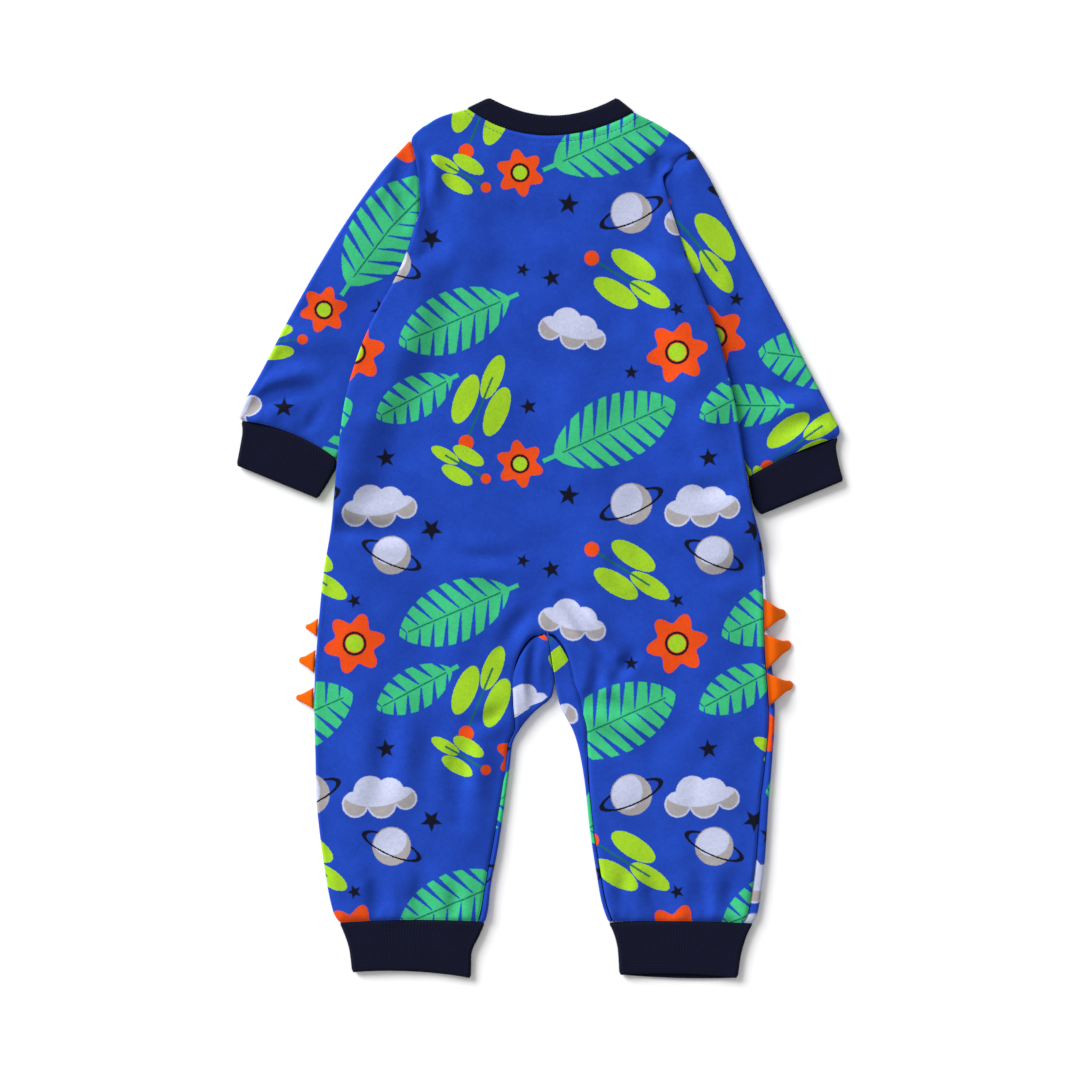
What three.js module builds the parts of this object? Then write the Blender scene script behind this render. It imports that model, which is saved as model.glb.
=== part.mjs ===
// A baby's footless sleeper with three cloth spikes in each leg's side seam.
// It lies face down on a flat surface, so its back is on top: +Y to the neck, +X to the wearer's right.
// Sizes are in millimetres. Each piece is a wall of cloth, made from a grid of section lines.
import * as THREE from "three";

const wall = 2; // thickness of the cloth
const seamGap = 0.3; // between two pieces at a seam
const edgeHeight = 5; // height of the folded cloth at its edges, both walls together
const bodyLoft = 1.7; // how much higher the back stands away from the edges
const sleeveLoft = 1.3;
const loftReach = 32; // distance from an edge over which the cloth rises
const sleeveLift = 5.8; // the body's sides lie over the sleeves, so they are lifted this much
const liftReach = 34; // the lift starts this far beside the sleeve and is full before its edge
const liftFull = 8;
const foldRise = 2.6; // the back's folds lie over the sleeves' top walls
const zipHalf = 6; // half the width of the zip's tape
const spikeThickness = 2;

// Sections of the back, from the neck seam down to the crotch, as the garment lies.
// columns: height at the centre line, left edge x, y, right edge x, y, bow of the section line
const backSections = [
  [282.2, -51.3, 301.6, 66.4, 299.0, -4.5], // neck seam
  [274.1, -72.4, 294.9, 86.5, 288.6, -3.2],
  [264.3, -91.0, 279.1, 106.8, 271.7, -1.6], // shoulder point
  [251.7, -88.9, 265.7, 96.3, 262.2, -0.5],
  [237.6, -85.1, 250.2, 86.3, 252.6, 0],
  [222.1, -84.0, 234.8, 90.2, 236.5, 0], // the back folds over the sleeve from here
  [202.4, -88.2, 217.9, 97.3, 214.4, 0],
  [174.3, -98.4, 188.4, 108.3, 183.5, 0],
  [142.7, -113.2, 161.7, 122.3, 151.8, 0],
  [107.6, -128.3, 127.9, 131.5, 118.8, 0],
  [72.4, -138.1, 90.0, 138.1, 90.0, 0],
  [37.3, -142.7, 50.6, 143.4, 56.2, 0],
  [4.2, -146.2, 12.7, 149.7, 19.7, 0],
  [-26.0, -152.2, -23.9, 156.4, -9.8, 0],
  [-49.2, -155.1, -52.0, 159.9, -43.6, 0],
];
// The front's sections where they differ from the back's.
const frontSections = [
  [257.3, -51.3, 301.6, 66.4, 299.0, -11.5], // neck seam
  [253.1, -72.4, 294.9, 86.5, 288.6, -8],
  [247.4, -91.0, 279.1, 106.8, 271.7, -4], // shoulder point
  [239.7, -88.9, 265.7, 96.3, 262.2, -1.5],
  [229.2, -85.1, 250.2, 86.3, 252.6, 0],
  [217.2, -84.0, 234.8, 85.4, 234.1, 0],
  [201.0, -86.8, 215.1, 90.0, 213.0, 0],
  [174.3, -91.2, 182.0, 97.0, 183.0, 0], // end of the armhole seam, below it the front lies over the sleeve
];
// Sections of the legs, from the crotch down to the ankle seam.
// columns: inner seam x, y, inner fold x, y, outer edge x, y
const leftLegSections = [
  [3.0, -66.1, 4.0, -66.6, -157.0, -75.2], // top of the crotch arch
  [-5.3, -69.2, 6.3, -71.7, -158.0, -88.6],
  [-12.0, -76.3, 7.0, -78.7, -158.5, -101.2],
  [-16.9, -87.2, 8.4, -88.6, -158.9, -113.9],
  [-18.8, -99.0, 10.4, -99.8, -158.7, -126.5],
  [-19.0, -110.0, 8.6, -111.0, -158.4, -139.2],
  [-18.6, -121.0, -3.0, -121.3, -158.0, -151.8],
  [-17.9, -132.9, -13.0, -132.9, -157.8, -164.5],
  [-22.3, -144.1, -19.2, -144.6, -157.7, -175.7],
  [-24.5, -161.7, -21.1, -160.3, -156.8, -189.8],
  [-28.1, -185.6, -24.4, -184.9, -154.8, -208.8],
  [-34.1, -219.3, -29.7, -220.0, -151.5, -232.0],
  [-38.7, -244.6, -34.4, -243.9, -148.0, -252.4],
  [-41.4, -260.5, -36.4, -261.5, -144.8, -264.0],
  [-43.5, -269.0, -38.4, -270.0, -141.0, -269.9],
];
const rightLegSections = [
  [5.0, -66.1, 4.0, -66.6, 161.0, -66.1],
  [9.5, -67.8, 6.3, -71.7, 162.0, -82.2],
  [15.1, -73.8, 7.0, -78.7, 163.4, -96.3],
  [19.0, -81.5, 8.4, -88.6, 164.3, -109.0],
  [21.9, -91.7, 10.4, -99.8, 164.9, -122.3],
  [24.3, -102.6, 11.6, -108.3, 164.5, -135.0],
  [28.0, -112.5, 14.4, -118.8, 163.6, -147.6],
  [29.9, -122.3, 18.9, -127.2, 162.7, -160.3],
  [32.8, -134.6, 23.4, -136.0, 161.7, -172.9],
  [33.4, -151.0, 27.6, -150.4, 160.5, -185.6],
  [34.6, -173.6, 31.5, -173.6, 159.4, -203.9],
  [37.4, -201.7, 34.4, -201.7, 158.0, -224.9],
  [41.8, -230.6, 38.7, -230.6, 155.7, -246.0],
  [46.4, -255.5, 43.3, -256.4, 152.6, -263.5],
  [51.0, -269.0, 48.0, -270.0, 149.6, -270.3],
];
// Where the side seams lie inside the outer edges, or below 0 under them. columns: section, distance
const sideSeams = {
  left: [
    [9, 0],
    [10, -0.8],
    [28.9, -0.8],
  ],
  right: [
    [12, 0],
    [13, 2],
    [14, 3.6],
    [17, 5],
    [20, 4.5],
    [22, 5.4],
    [24, 6.4],
    [28.9, 7],
  ],
};

// Sections of the sleeves, from the armhole to the wrist.
// columns: outer edge x, y, inner edge x, y, bow towards the shoulder
const leftSleeveSections = [
  [-91.7, 278.8, -98.4, 151.8, 0],
  [-108.0, 261.0, -99.8, 144.2, 0],
  [-133.5, 226.0, -103.8, 134.3, 0],
  [-155.0, 191.5, -111.0, 121.0, 0],
  [-176.5, 153.5, -120.0, 103.5, 1],
  [-197.5, 113.2, -130.7, 82.2, 2.5],
  [-207.9, 95.0, -137.5, 66.0, 4],
  [-211.3, 85.8, -141.0, 58.5, 4.8],
  [-209.8, 82.2, -142.6, 55.4, 5],
];
const rightSleeveSections = [
  [107.6, 271.6, 108.3, 147.6, 0],
  [118.0, 254.6, 110.5, 136.0, 0],
  [136.0, 219.0, 115.5, 118.0, 0],
  [154.5, 184.0, 123.0, 99.0, 0],
  [173.5, 148.0, 131.5, 80.5, 0.5],
  [190.0, 116.0, 139.0, 62.5, 1],
  [204.0, 88.6, 143.8, 51.0, 1.6],
  [210.4, 75.6, 145.6, 45.0, 2],
  [209.3, 70.6, 146.3, 42.8, 2.2],
];
// The armhole seams bulge towards the body by `bow`, soonest where `rise` is small and `fall` large.
const leftArmhole = { bow: 9.2, rise: 1, fall: 1.5 };
const rightArmhole = { bow: 21.5, rise: 0.8, fall: 2 };
const armholeClearance = 0.24; // added there to the gap that the seam has

// Heights in Y between which the front and back climb over each sleeve's end.
const climbs = {
  left: { front: [205, 184], back: [252, 237] },
  right: { front: [207, 185], back: [264, 254] },
};

// Sections of the cuffs, from the seam to the hem.
// columns: left edge x, y, right edge x, y, bow of the top wall, bow of the bottom wall
const leftWristSections = [
  [-209.7, 81.8, -142.8, 55.1, 5, 5],
  [-208.9, 75.2, -142.8, 50.6, 4.4, 4.4],
  [-210.7, 63.3, -146.9, 42.2, 2.2, 2],
  [-213.1, 51.0, -156.0, 27.6, 0, 0],
];
const rightWristSections = [
  [146.3, 42.4, 209.3, 70.2, 2.2, 2.2],
  [147.2, 35.9, 207.9, 64.0, 1.8, 1.8],
  [149.6, 24.5, 209.6, 53.2, 0.6, 0.6],
  [154.8, 16.2, 213.1, 40.2, 0, 0],
];
const leftAnkleSections = [
  [-140.8, -270.4, -38.8, -270.6, 2.2, 2.2],
  [-138.1, -276.3, -42.2, -278.4, 1.5, 1.5],
  [-133.9, -289.2, -48.2, -293.0, 2.6, 2],
  [-132.0, -305.0, -48.5, -309.0, 3.6, 2.6],
];
const rightAnkleSections = [
  [48.2, -270.6, 149.4, -270.8, 1.5, 1.5],
  [51.0, -275.6, 145.5, -278.4, 1.5, 1],
  [54.6, -289.0, 141.2, -292.6, 1.6, 0],
  [55.7, -306.6, 138.8, -308.8, 2, -1.3],
];
// The legs' lower edges bow up between their folds.
const ankleBow = { left: 1.5, right: 0.85 };
// The neckband's top edge, between its two folded ends at the shoulders.
const neckbandTop = { left: [-35.9, 309.2], right: [54.1, 309.2], backBow: -12.7, frontBow: -38 };

// Spikes on the side seams. columns: upper end y, lower end y, tip x, tip y
const leftSpikes = [
  [-56.5, -69.2, -164.7, -62.4],
  [-78.6, -94.9, -169.3, -85.8],
  [-105.0, -120.0, -171.4, -112.2],
];
const rightSpikes = [
  [-42.1, -65.4, 172.7, -53.4],
  [-67.2, -93.4, 176.4, -75.0],
  [-95.2, -118.9, 177.8, -103.0],
];

// The largest creases of the back and sleeves.
// columns: from x, y, to x, y, depth (a ridge is positive), half width
const creases = [
  [-91, 262, -99, 250, -1.0, 6],
  [-80, 256, -83, 238, -1.2, 5],
  [74, 289, 100, 277, -0.9, 5],
  [-207, 88, -166, 104, -0.9, 8],
  [-143, 13, -98, 4, -0.8, 7],
  [26, -54, 52, -92, -1.4, 7],
  [40, -66, 66, -96, 0.9, 6],
  [37, -113, 62, -124, -1.2, 8],
  [-109, -140, -113, -190, -1.1, 9],
  [-50, -140, -57, -196, -1.0, 9],
  [78, -240, 90, -262, -0.8, 6],
  [-70, 205, -84, 235, -1.0, 7],
];

const clamp = (value, low, high) => Math.min(Math.max(value, low), high);
const mix = (a, b, t) => a + (b - a) * t;
const mixPoint = (p, q, t) => [mix(p[0], q[0], t), mix(p[1], q[1], t)];
const distance = (p, q) => Math.hypot(q[0] - p[0], q[1] - p[1]);

/** 0 below `from`, 1 above `to`, and a soft step between them. */
function ease(value, from, to) {
  const t = clamp((value - from) / (to - from), 0, 1);
  return t * t * (3 - 2 * t);
}

/** A smooth curve through a table's column, which never overshoots its rows. */
function along(table, column, at) {
  const last = table.length - 1;
  const i = clamp(Math.floor(at), 0, last - 1);
  const step = (k) => table[k + 1][column] - table[k][column];
  const slope = (k) => {
    if (k === 0) return step(0);
    if (k === last) return step(last - 1);
    const product = step(k - 1) * step(k);
    return product > 0 ? (2 * product) / (step(k - 1) + step(k)) : 0;
  };
  const t = at - i;
  const a = table[i][column];
  const b = table[i + 1][column];
  const t2 = t * t;
  const t3 = t2 * t;
  const values = a * (2 * t3 - 3 * t2 + 1) + b * (3 * t2 - 2 * t3);
  return values + slope(i) * (t3 - 2 * t2 + t) + slope(i + 1) * (t3 - t2);
}

/** A value from a table of [at, value] rows, straight between them. */
function between(table, at) {
  const next = table.findIndex((row) => row[0] >= at);
  if (next <= 0) return table[next < 0 ? table.length - 1 : 0][1];
  const [low, high] = [table[next - 1], table[next]];
  return mix(low[1], high[1], (at - low[0]) / (high[0] - low[0]));
}

// Section numbers of the body: 0 is the neck seam, `crotch` the top of the crotch arch.
const crotch = backSections.length;
const ankle = crotch + leftLegSections.length - 1;
const wrapStart = crotch + 0.2; // below this the front's cloth is turned up to the crotch seam
const centreX = 3.5;

/** One table for a side of the body, with a row for each section from neck to ankle.
    columns: inner seam x, y, inner fold x, y, outer edge x, y, bow */
function bodyTable(side, sections) {
  const legs = side === "left" ? leftLegSections : rightLegSections;
  const edge = side === "left" ? 1 : 3;
  const upper = sections.map((row) => [centreX, row[0], centreX, row[0], row[edge], row[edge + 1], row[5]]);
  return [...upper, ...legs.map((row) => [...row, 0])];
}

const frontBody = [...frontSections, ...backSections.slice(frontSections.length)];
const bodyTables = {
  left: { back: bodyTable("left", backSections), front: bodyTable("left", frontBody) },
  right: { back: bodyTable("right", backSections), front: bodyTable("right", frontBody) },
};

/** The plan of one section: inner fold, inner seam, outer edge, and its lengths. */
function bodyLine(side, layer, section) {
  const table = bodyTables[side][layer];
  const read = (column) => along(table, column, section);
  const seam = [read(0), read(1)];
  const fold = section < crotch ? seam : [read(2), read(3)];
  const edge = besideArmhole(side, layer, [read(4), read(5)]);
  const inner = distance(fold, seam);
  const bow = read(6) + ankleBow[side] * ease(section, ankle - 1, ankle);
  return { fold, seam, edge, bow, inner, length: inner + distance(seam, edge) };
}

/** Moves an outer edge point on to the armhole seam, where its layer meets the sleeve there. */
function besideArmhole(side, layer, edge) {
  const { table, towardsBody } = sleeves[side];
  const [, top, , bottom] = table[0];
  const isClear = edge[1] >= top || edge[1] < climbs[side][layer][1];
  if (isClear) return edge;
  const seam = onSleeve(side, 0, (top - edge[1]) / (top - bottom));
  return [seam[0] + towardsBody * armholeClearance, edge[1]];
}

/** The plan point at distance s from the section's inner fold. */
function onLine(line, s) {
  if (s < line.inner) return mixPoint(line.fold, line.seam, s / line.inner);
  const outer = line.length - line.inner;
  const t = (s - line.inner) / outer;
  const point = mixPoint(line.seam, line.edge, t);
  const lift = line.bow * 4 * t * (1 - t);
  const across = Math.sign(line.edge[0] - line.seam[0]);
  point[0] -= (lift * across * (line.edge[1] - line.seam[1])) / outer;
  point[1] += (lift * across * (line.edge[0] - line.seam[0])) / outer;
  return point;
}

/** The shape of an armhole seam: 0 at its ends and 1 at its fullest. */
function armholeShape(t, { rise, fall }) {
  const fullest = rise / (rise + fall);
  return (t ** rise * (1 - t) ** fall) / (fullest ** rise * (1 - fullest) ** fall);
}

const sleeves = {
  left: { table: leftSleeveSections, armhole: leftArmhole, towardsBody: 1 },
  right: { table: rightSleeveSections, armhole: rightArmhole, towardsBody: -1 },
};

/** The plan point at fraction t of a sleeve's section, from its outer edge to its inner edge. */
function onSleeve(side, section, t) {
  const { table, armhole, towardsBody } = sleeves[side];
  const outer = [along(table, 0, section), along(table, 1, section)];
  const inner = [along(table, 2, section), along(table, 3, section)];
  const point = mixPoint(outer, inner, t);
  const bulge = armhole.bow * Math.max(0, 1 - section / 3) ** 2;
  point[0] += towardsBody * bulge * armholeShape(clamp(t, 0, 1), armhole);
  const bow = (along(table, 4, section) * 4 * t * (1 - t) * towardsBody) / distance(outer, inner);
  point[0] -= bow * (inner[1] - outer[1]);
  point[1] += bow * (inner[0] - outer[0]);
  return point;
}

/** The nearest distance from a point to a line through points, and closed if asked. */
function distanceToLine(point, line, closed) {
  let nearest = Infinity;
  const count = closed ? line.length : line.length - 1;
  for (let i = 0; i < count; i += 1) {
    const a = line[i];
    const b = line[(i + 1) % line.length];
    const dx = b[0] - a[0];
    const dy = b[1] - a[1];
    const t = clamp(((point[0] - a[0]) * dx + (point[1] - a[1]) * dy) / (dx * dx + dy * dy || 1), 0, 1);
    nearest = Math.min(nearest, Math.hypot(point[0] - a[0] - t * dx, point[1] - a[1] - t * dy));
  }
  return nearest;
}

function isInside(point, outline) {
  let inside = false;
  outline.forEach((a, i) => {
    const b = outline[(i + 1) % outline.length];
    const crosses = a[1] > point[1] !== b[1] > point[1];
    if (crosses && point[0] < ((b[0] - a[0]) * (point[1] - a[1])) / (b[1] - a[1]) + a[0]) inside = !inside;
  });
  return inside;
}

const steps = (count, from, to) => Array.from({ length: count + 1 }, (_, i) => mix(from, to, i / count));

/** The body's outline on one side, from the neck down the outside and up the inside to the crotch. */
function bodyOutline(side) {
  const outside = steps(60, 0, ankle).map((section) => bodyLine(side, "back", section).edge);
  const inside = steps(28, ankle, crotch + 5).map((section) => bodyLine(side, "back", section).fold);
  return [...outside, ...inside];
}

const bodyEdge = [...bodyOutline("left"), ...bodyOutline("right").reverse()];

/** A sleeve and its cuff seen from above. */
function sleeveFootprint(side, cuff) {
  const last = sleeves[side].table.length - 1;
  const outer = steps(16, 0, last).map((section) => onSleeve(side, section, 0));
  const inner = steps(16, last, 0).map((section) => onSleeve(side, section, 1));
  const armhole = steps(8, 1, 0).map((t) => onSleeve(side, 0, t));
  const outerColumn = side === "left" ? 0 : 2;
  const innerColumn = side === "left" ? 2 : 0;
  const cuffOuter = cuff.map((row) => [row[outerColumn], row[outerColumn + 1]]);
  const cuffInner = cuff.map((row) => [row[innerColumn], row[innerColumn + 1]]).reverse();
  return [...outer, ...cuffOuter, ...cuffInner, ...inner, ...armhole];
}

const footprints = {
  left: sleeveFootprint("left", leftWristSections),
  right: sleeveFootprint("right", rightWristSections),
};

/** How far the body is lifted by the sleeve under its side. */
function liftAt(point, layer) {
  const side = point[0] < centreX ? "left" : "right";
  const nearest = distanceToLine(point, footprints[side], true);
  const into = isInside(point, footprints[side]) ? nearest : -nearest;
  const climb = climbs[side];
  const over = ease(-point[1], -climb.front[0], -climb.front[1]);
  const frontLift = sleeveLift * over * ease(into, -liftReach, -liftFull);
  if (layer === "front") return frontLift;
  const overFold = ease(-point[1], -climb.back[0], -climb.back[1]);
  return Math.max(frontLift, foldRise * overFold * ease(into, -12, -1));
}

const creaseEnds = 0.45; // how much of a crease's depth is left at its ends

/** The height that the creases add at a point. */
function creaseAt(point) {
  let height = 0;
  for (const [x0, y0, x1, y1, depth, halfWidth] of creases) {
    const dx = x1 - x0;
    const dy = y1 - y0;
    const t = ((point[0] - x0) * dx + (point[1] - y0) * dy) / (dx * dx + dy * dy);
    const nearest = clamp(t, 0, 1);
    const away = Math.hypot(point[0] - x0 - nearest * dx, point[1] - y0 - nearest * dy) / halfWidth;
    height += depth * Math.exp(-away * away) * mix(creaseEnds, 1, Math.sin(Math.PI * nearest));
  }
  return height;
}

const bodyBottom = (point, layer) => liftAt(point, layer);

function bodyTop(point, layer) {
  const away = distanceToLine(point, bodyEdge, true);
  const loft = bodyLoft * ease(away, 0, loftReach) + creaseAt(point) * ease(away, 0, 6);
  return liftAt(point, layer) + edgeHeight + loft;
}

/** One place on a folded edge, outer and inner surface. `turn` is the distance round the fold from its
    outermost line: positive over the top, negative under the bottom. The fold is `reach` long. */
function onFold(turn, reach, top, bottom) {
  const radius = (top - bottom) / 2;
  const quarter = (radius * Math.PI) / 2;
  const angle = clamp(turn / radius, -Math.PI / 2, Math.PI / 2);
  const beyond = Math.max(0, Math.abs(turn) - quarter);
  const middle = (top + bottom) / 2;
  const innerReach = reach * 0.2;
  const innerBend = innerReach * (1 - Math.cos(angle)) + (reach - innerReach - wall) * ease(beyond, 0, 2);
  return {
    outer: { inset: reach * (1 - Math.cos(angle)) + beyond, z: middle + radius * Math.sin(angle) },
    inner: { inset: wall + innerBend + beyond, z: middle + (radius - wall) * Math.sin(angle) },
    flat: beyond > 0,
  };
}

/** The distance round a fold at which its surface is `inset` inside the edge, seen from above. */
function turnAt(inset, reach, radius) {
  if (inset < 0) return inset;
  if (inset < reach) return radius * Math.acos(1 - inset / reach);
  return (radius * Math.PI) / 2 + inset - reach;
}

/** A closed body from two grids of points, [row][column][x, y, z], with a rim at each open edge. */
function clothWall(outer, inner, hasCell = () => true) {
  const rows = outer.length;
  const columns = outer[0].length;
  const positions = [...outer.flat(), ...inner.flat()].flat();
  const at = (row, column, isInner) => (isInner ? rows * columns : 0) + row * columns + column;
  const exists = (row, column) =>
    row >= 0 && column >= 0 && row < rows - 1 && column < columns - 1 && hasCell(row, column);
  const index = [];
  const quad = (a, b, c, d) => index.push(a, b, c, a, c, d);
  for (let i = 0; i < rows - 1; i += 1) {
    for (let j = 0; j < columns - 1; j += 1) {
      if (!exists(i, j)) continue;
      const corners = [[i, j], [i, j + 1], [i + 1, j + 1], [i + 1, j]];
      const [a, b, c, d] = corners.map(([row, column]) => at(row, column, false));
      const [e, f, g, h] = corners.map(([row, column]) => at(row, column, true));
      quad(a, b, c, d);
      quad(h, g, f, e);
      if (!exists(i - 1, j)) quad(b, a, e, f);
      if (!exists(i, j + 1)) quad(c, b, f, g);
      if (!exists(i + 1, j)) quad(d, c, g, h);
      if (!exists(i, j - 1)) quad(a, d, h, e);
    }
  }
  return solid(positions, index);
}

/** A tube of cloth from rings of points, [row][around][x, y, z], with a rim at each end. */
function clothTube(outer, inner) {
  const rows = outer.length;
  const around = outer[0].length;
  const positions = [...outer.flat(), ...inner.flat()].flat();
  const at = (row, column, isInner) => (isInner ? rows * around : 0) + row * around + (column % around);
  const index = [];
  const quad = (a, b, c, d) => index.push(a, b, c, a, c, d);
  for (let j = 0; j < around; j += 1) {
    for (let i = 0; i < rows - 1; i += 1) {
      quad(at(i, j), at(i, j + 1), at(i + 1, j + 1), at(i + 1, j));
      quad(at(i + 1, j, true), at(i + 1, j + 1, true), at(i, j + 1, true), at(i, j, true));
    }
    quad(at(0, j + 1), at(0, j), at(0, j, true), at(0, j + 1, true));
    quad(at(rows - 1, j), at(rows - 1, j + 1), at(rows - 1, j + 1, true), at(rows - 1, j, true));
  }
  return solid(positions, index);
}

/** A geometry of the points, without the ones not used, and turned to face outwards. */
function solid(positions, index) {
  const used = [...new Set(index)].sort((a, b) => a - b);
  const place = new Map(used.map((old, now) => [old, now]));
  const points = used.flatMap((old) => positions.slice(old * 3, old * 3 + 3));
  const faces = index.map((old) => place.get(old));
  let volume = 0;
  for (let i = 0; i < faces.length; i += 3) {
    const [a, b, c] = [0, 1, 2].map((k) => new THREE.Vector3().fromArray(points, faces[i + k] * 3));
    volume += a.dot(b.cross(c));
  }
  if (volume < 0) faces.reverse();
  const geometry = new THREE.BufferGeometry();
  geometry.setAttribute("position", new THREE.Float32BufferAttribute(points, 3));
  geometry.setIndex(faces);
  geometry.computeVertexNormals();
  return geometry;
}

const royalBlue = { color: "#2447bd", roughness: 0.95, metalness: 0 };
const navyRib = { color: "#181a31", roughness: 0.9, metalness: 0 };
const orangeFleece = { color: "#ef6403", roughness: 0.95, metalness: 0 };
const navyPlastic = { color: "#1c1e38", roughness: 0.45, metalness: 0 };

const sleeper = new THREE.Group();

function addPiece(name, geometry, look) {
  const mesh = new THREE.Mesh(geometry, new THREE.MeshStandardMaterial(look));
  mesh.name = name;
  sleeper.add(mesh);
}

const seamStep = 0.1; // sections to each side of a place, for the seam's direction there
const slantLimit = 0.35; // the least sine of the angle between a seam and a section

/** How far a piece stops short of a seam along its section, so that the seam's gap is seamGap. */
function seamShift(side, section) {
  const before = bodyLine(side, "back", Math.max(crotch, section - seamStep));
  const after = bodyLine(side, "back", Math.min(ankle, section + seamStep));
  const run = [after.seam[0] - before.seam[0], after.seam[1] - before.seam[1]];
  const here = bodyLine(side, "back", section);
  const across = [here.edge[0] - here.fold[0], here.edge[1] - here.fold[1]];
  const crossed = Math.abs(run[0] * across[1] - run[1] * across[0]);
  const sine = crossed / (Math.hypot(...run) * Math.hypot(...across));
  return seamGap / 2 / Math.max(sine, slantLimit);
}

const sideSeam = (side, section) => between(sideSeams[side], section);

// Sections between which the outer edge turns from a fold to the armhole's cut edge, and back to a fold.
const armholeStart = [2, 2.5];
const armholeEnd = { back: [7.2, 7.8], front: [7.4, 8] };

/** 1 where the outer edge is a fold, and 0 where it is cut for the armhole. */
const foldedAt = (section, layer) =>
  Math.max(1 - ease(section, ...armholeStart), ease(section, ...armholeEnd[layer]));

/** The outer edge's fold on one section: outer and inner points at a distance `turn` round it. */
function outerFoldPoints(side, layer, section, line, turn) {
  const junction = onLine(line, line.length - edgeHeight / 2);
  const top = bodyTop(junction, layer);
  const bottom = bodyBottom(junction, layer);
  const round = onFold(turn, (top - bottom) / 2, top, bottom);
  const folded = foldedAt(section, layer);
  const flatInset = Math.abs(turn) + seamGap / 2;
  return ["outer", "inner"].map((surface) => {
    const inset = mix(flatInset, round[surface].inset, folded);
    const point = onLine(line, line.length - inset);
    const up = layer === "back" || turn > 0;
    const depth = surface === "outer" ? 0 : wall;
    const flatZ = up ? bodyTop(point, layer) - depth : bodyBottom(point, layer) + depth;
    const z = round.flat ? flatZ : mix(flatZ, round[surface].z, folded);
    return [...point, z];
  });
}

/** The inner fold of a leg or of the crotch, at a distance `turn` round it. */
function innerFoldPoints(line, turn, reach, shift) {
  const junction = onLine(line, reach);
  const top = bodyTop(junction, "front");
  const bottom = bodyBottom(junction, "front");
  const round = onFold(turn, reach, top, bottom);
  return ["outer", "inner"].map((surface) => {
    const point = onLine(line, round[surface].inset + shift);
    const depth = surface === "outer" ? 0 : wall;
    const flatZ = turn > 0 ? bodyTop(point, "front") - depth : bodyBottom(point, "front") + depth;
    return [...point, round.flat ? flatZ : round[surface].z];
  });
}

/** Half the opening between the two fronts along the zip. */
const centreShift = (section) => seamGap / 2 + (zipHalf + seamGap / 2) * (1 - ease(section, 13.2, 14.2));

const ridgeHeight = 0.8;
const ridgeWidth = 9;

/** Extra height of the back beside the right side seam, where it lies a little over the front. */
const seamRidge = (side, section, fromSeam) =>
  side === "right" ? ridgeHeight * ease(section, 12.5, 14) * (1 - ease(fromSeam, 0, ridgeWidth)) : 0;

const backEdgeColumns = 4;
const backFlatColumns = 6;
const centreGap = 3; // half the width of the back's middle strip

/** The back's points on one section of one side, from the side seam to the inner seam. */
function backHalf(side, section) {
  const line = bodyLine(side, "back", section);
  const radius = edgeHeight / 2;
  const seam = turnAt(sideSeam(side, section), radius, radius);
  const folded = foldedAt(section, "back");
  const start = mix(0, seam + seamGap / 2, folded);
  const edgeWidth = 7;
  const points = steps(backEdgeColumns, start, start + edgeWidth).map((turn) =>
    outerFoldPoints(side, "back", section, line, turn),
  );
  const rounded = (radius * Math.PI) / 2;
  const from = line.length - mix(start + edgeWidth, start + edgeWidth - rounded + radius, folded);
  const to = section <= crotch ? line.inner + centreGap : line.inner + seamShift(side, section);
  const arch = ease(section, crotch, crotch + 0.5);
  const end = section <= crotch ? to : mix(line.inner + centreGap, to, arch);
  for (const s of steps(backFlatColumns, from, end).slice(1)) {
    const point = onLine(line, s);
    const top = bodyTop(point, "back");
    points.push([[...point, top], [...point, top - wall]]);
  }
  return points.map(([outer, inner], i) => {
    const ridge = seamRidge(side, section, (i * edgeWidth) / backEdgeColumns);
    return [outer, inner].map(([x, y, z]) => [x, y, z + ridge]);
  });
}

const bodySections = [
  0, 1, 2, 2.5, 3, 4, 4.5, 5, 5.5, 6, 6.5, 7, 7.5, 8, 8.5, 9, 10, 11, 12, 13, 14, 15, 15.2, 15.6,
  16, 17, 18, 19, 20, 21, 22, 23, 24, 25, 26, 27, 28, 28.5, 29,
];

function backPanel() {
  const rows = bodySections.map((section) => [
    ...backHalf("left", section),
    ...backHalf("right", section).reverse(),
  ]);
  const outer = rows.map((row) => row.map((pair) => pair[0]));
  const inner = rows.map((row) => row.map((pair) => pair[1]));
  const middle = backEdgeColumns + backFlatColumns;
  return clothWall(outer, inner, (row, column) => column !== middle || bodySections[row] < crotch);
}

const frontEdgeColumns = { left: 3, right: 6 };
const frontFlatColumns = 7;
const wrapColumns = 6;
const crotchFold = 0.8; // how far the sharp folds beside the crotch seam are rounded, in plan

/** The front's points on one section, from the side seam under the edge and round to the crotch seam. */
function frontHalf(side, section) {
  const line = bodyLine(side, "front", section);
  const radius = edgeHeight / 2;
  const folded = foldedAt(section, "front");
  const seam = turnAt(sideSeam(side, section), radius, radius) - seamGap / 2;
  const under = (radius * Math.PI) / 2 + 1;
  const points = steps(frontEdgeColumns[side], mix(0, seam, folded), -under).map((turn) =>
    outerFoldPoints(side, "front", section, line, turn),
  );
  const from = line.length - mix(under, radius + 1, folded);
  const wraps = section >= wrapStart;
  const reach = mix(crotchFold, radius, ease(section, 19, 21));
  const shift = seamGap / 2;
  const to = wraps ? reach + 1 + shift : centreShift(section);
  for (const s of steps(frontFlatColumns, from, to).slice(1)) {
    const point = onLine(line, s);
    const bottom = bodyBottom(point, "front");
    points.push([[...point, bottom], [...point, bottom + wall]]);
  }
  const end = turnAt(line.inner, reach, radius) - seamShift(side, section) - shift;
  const turns = steps(wrapColumns, -(radius * Math.PI) / 2 - 1, wraps ? end : 0).slice(1);
  return [...points, ...turns.map((turn) => innerFoldPoints(line, turn, reach, shift))];
}

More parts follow.
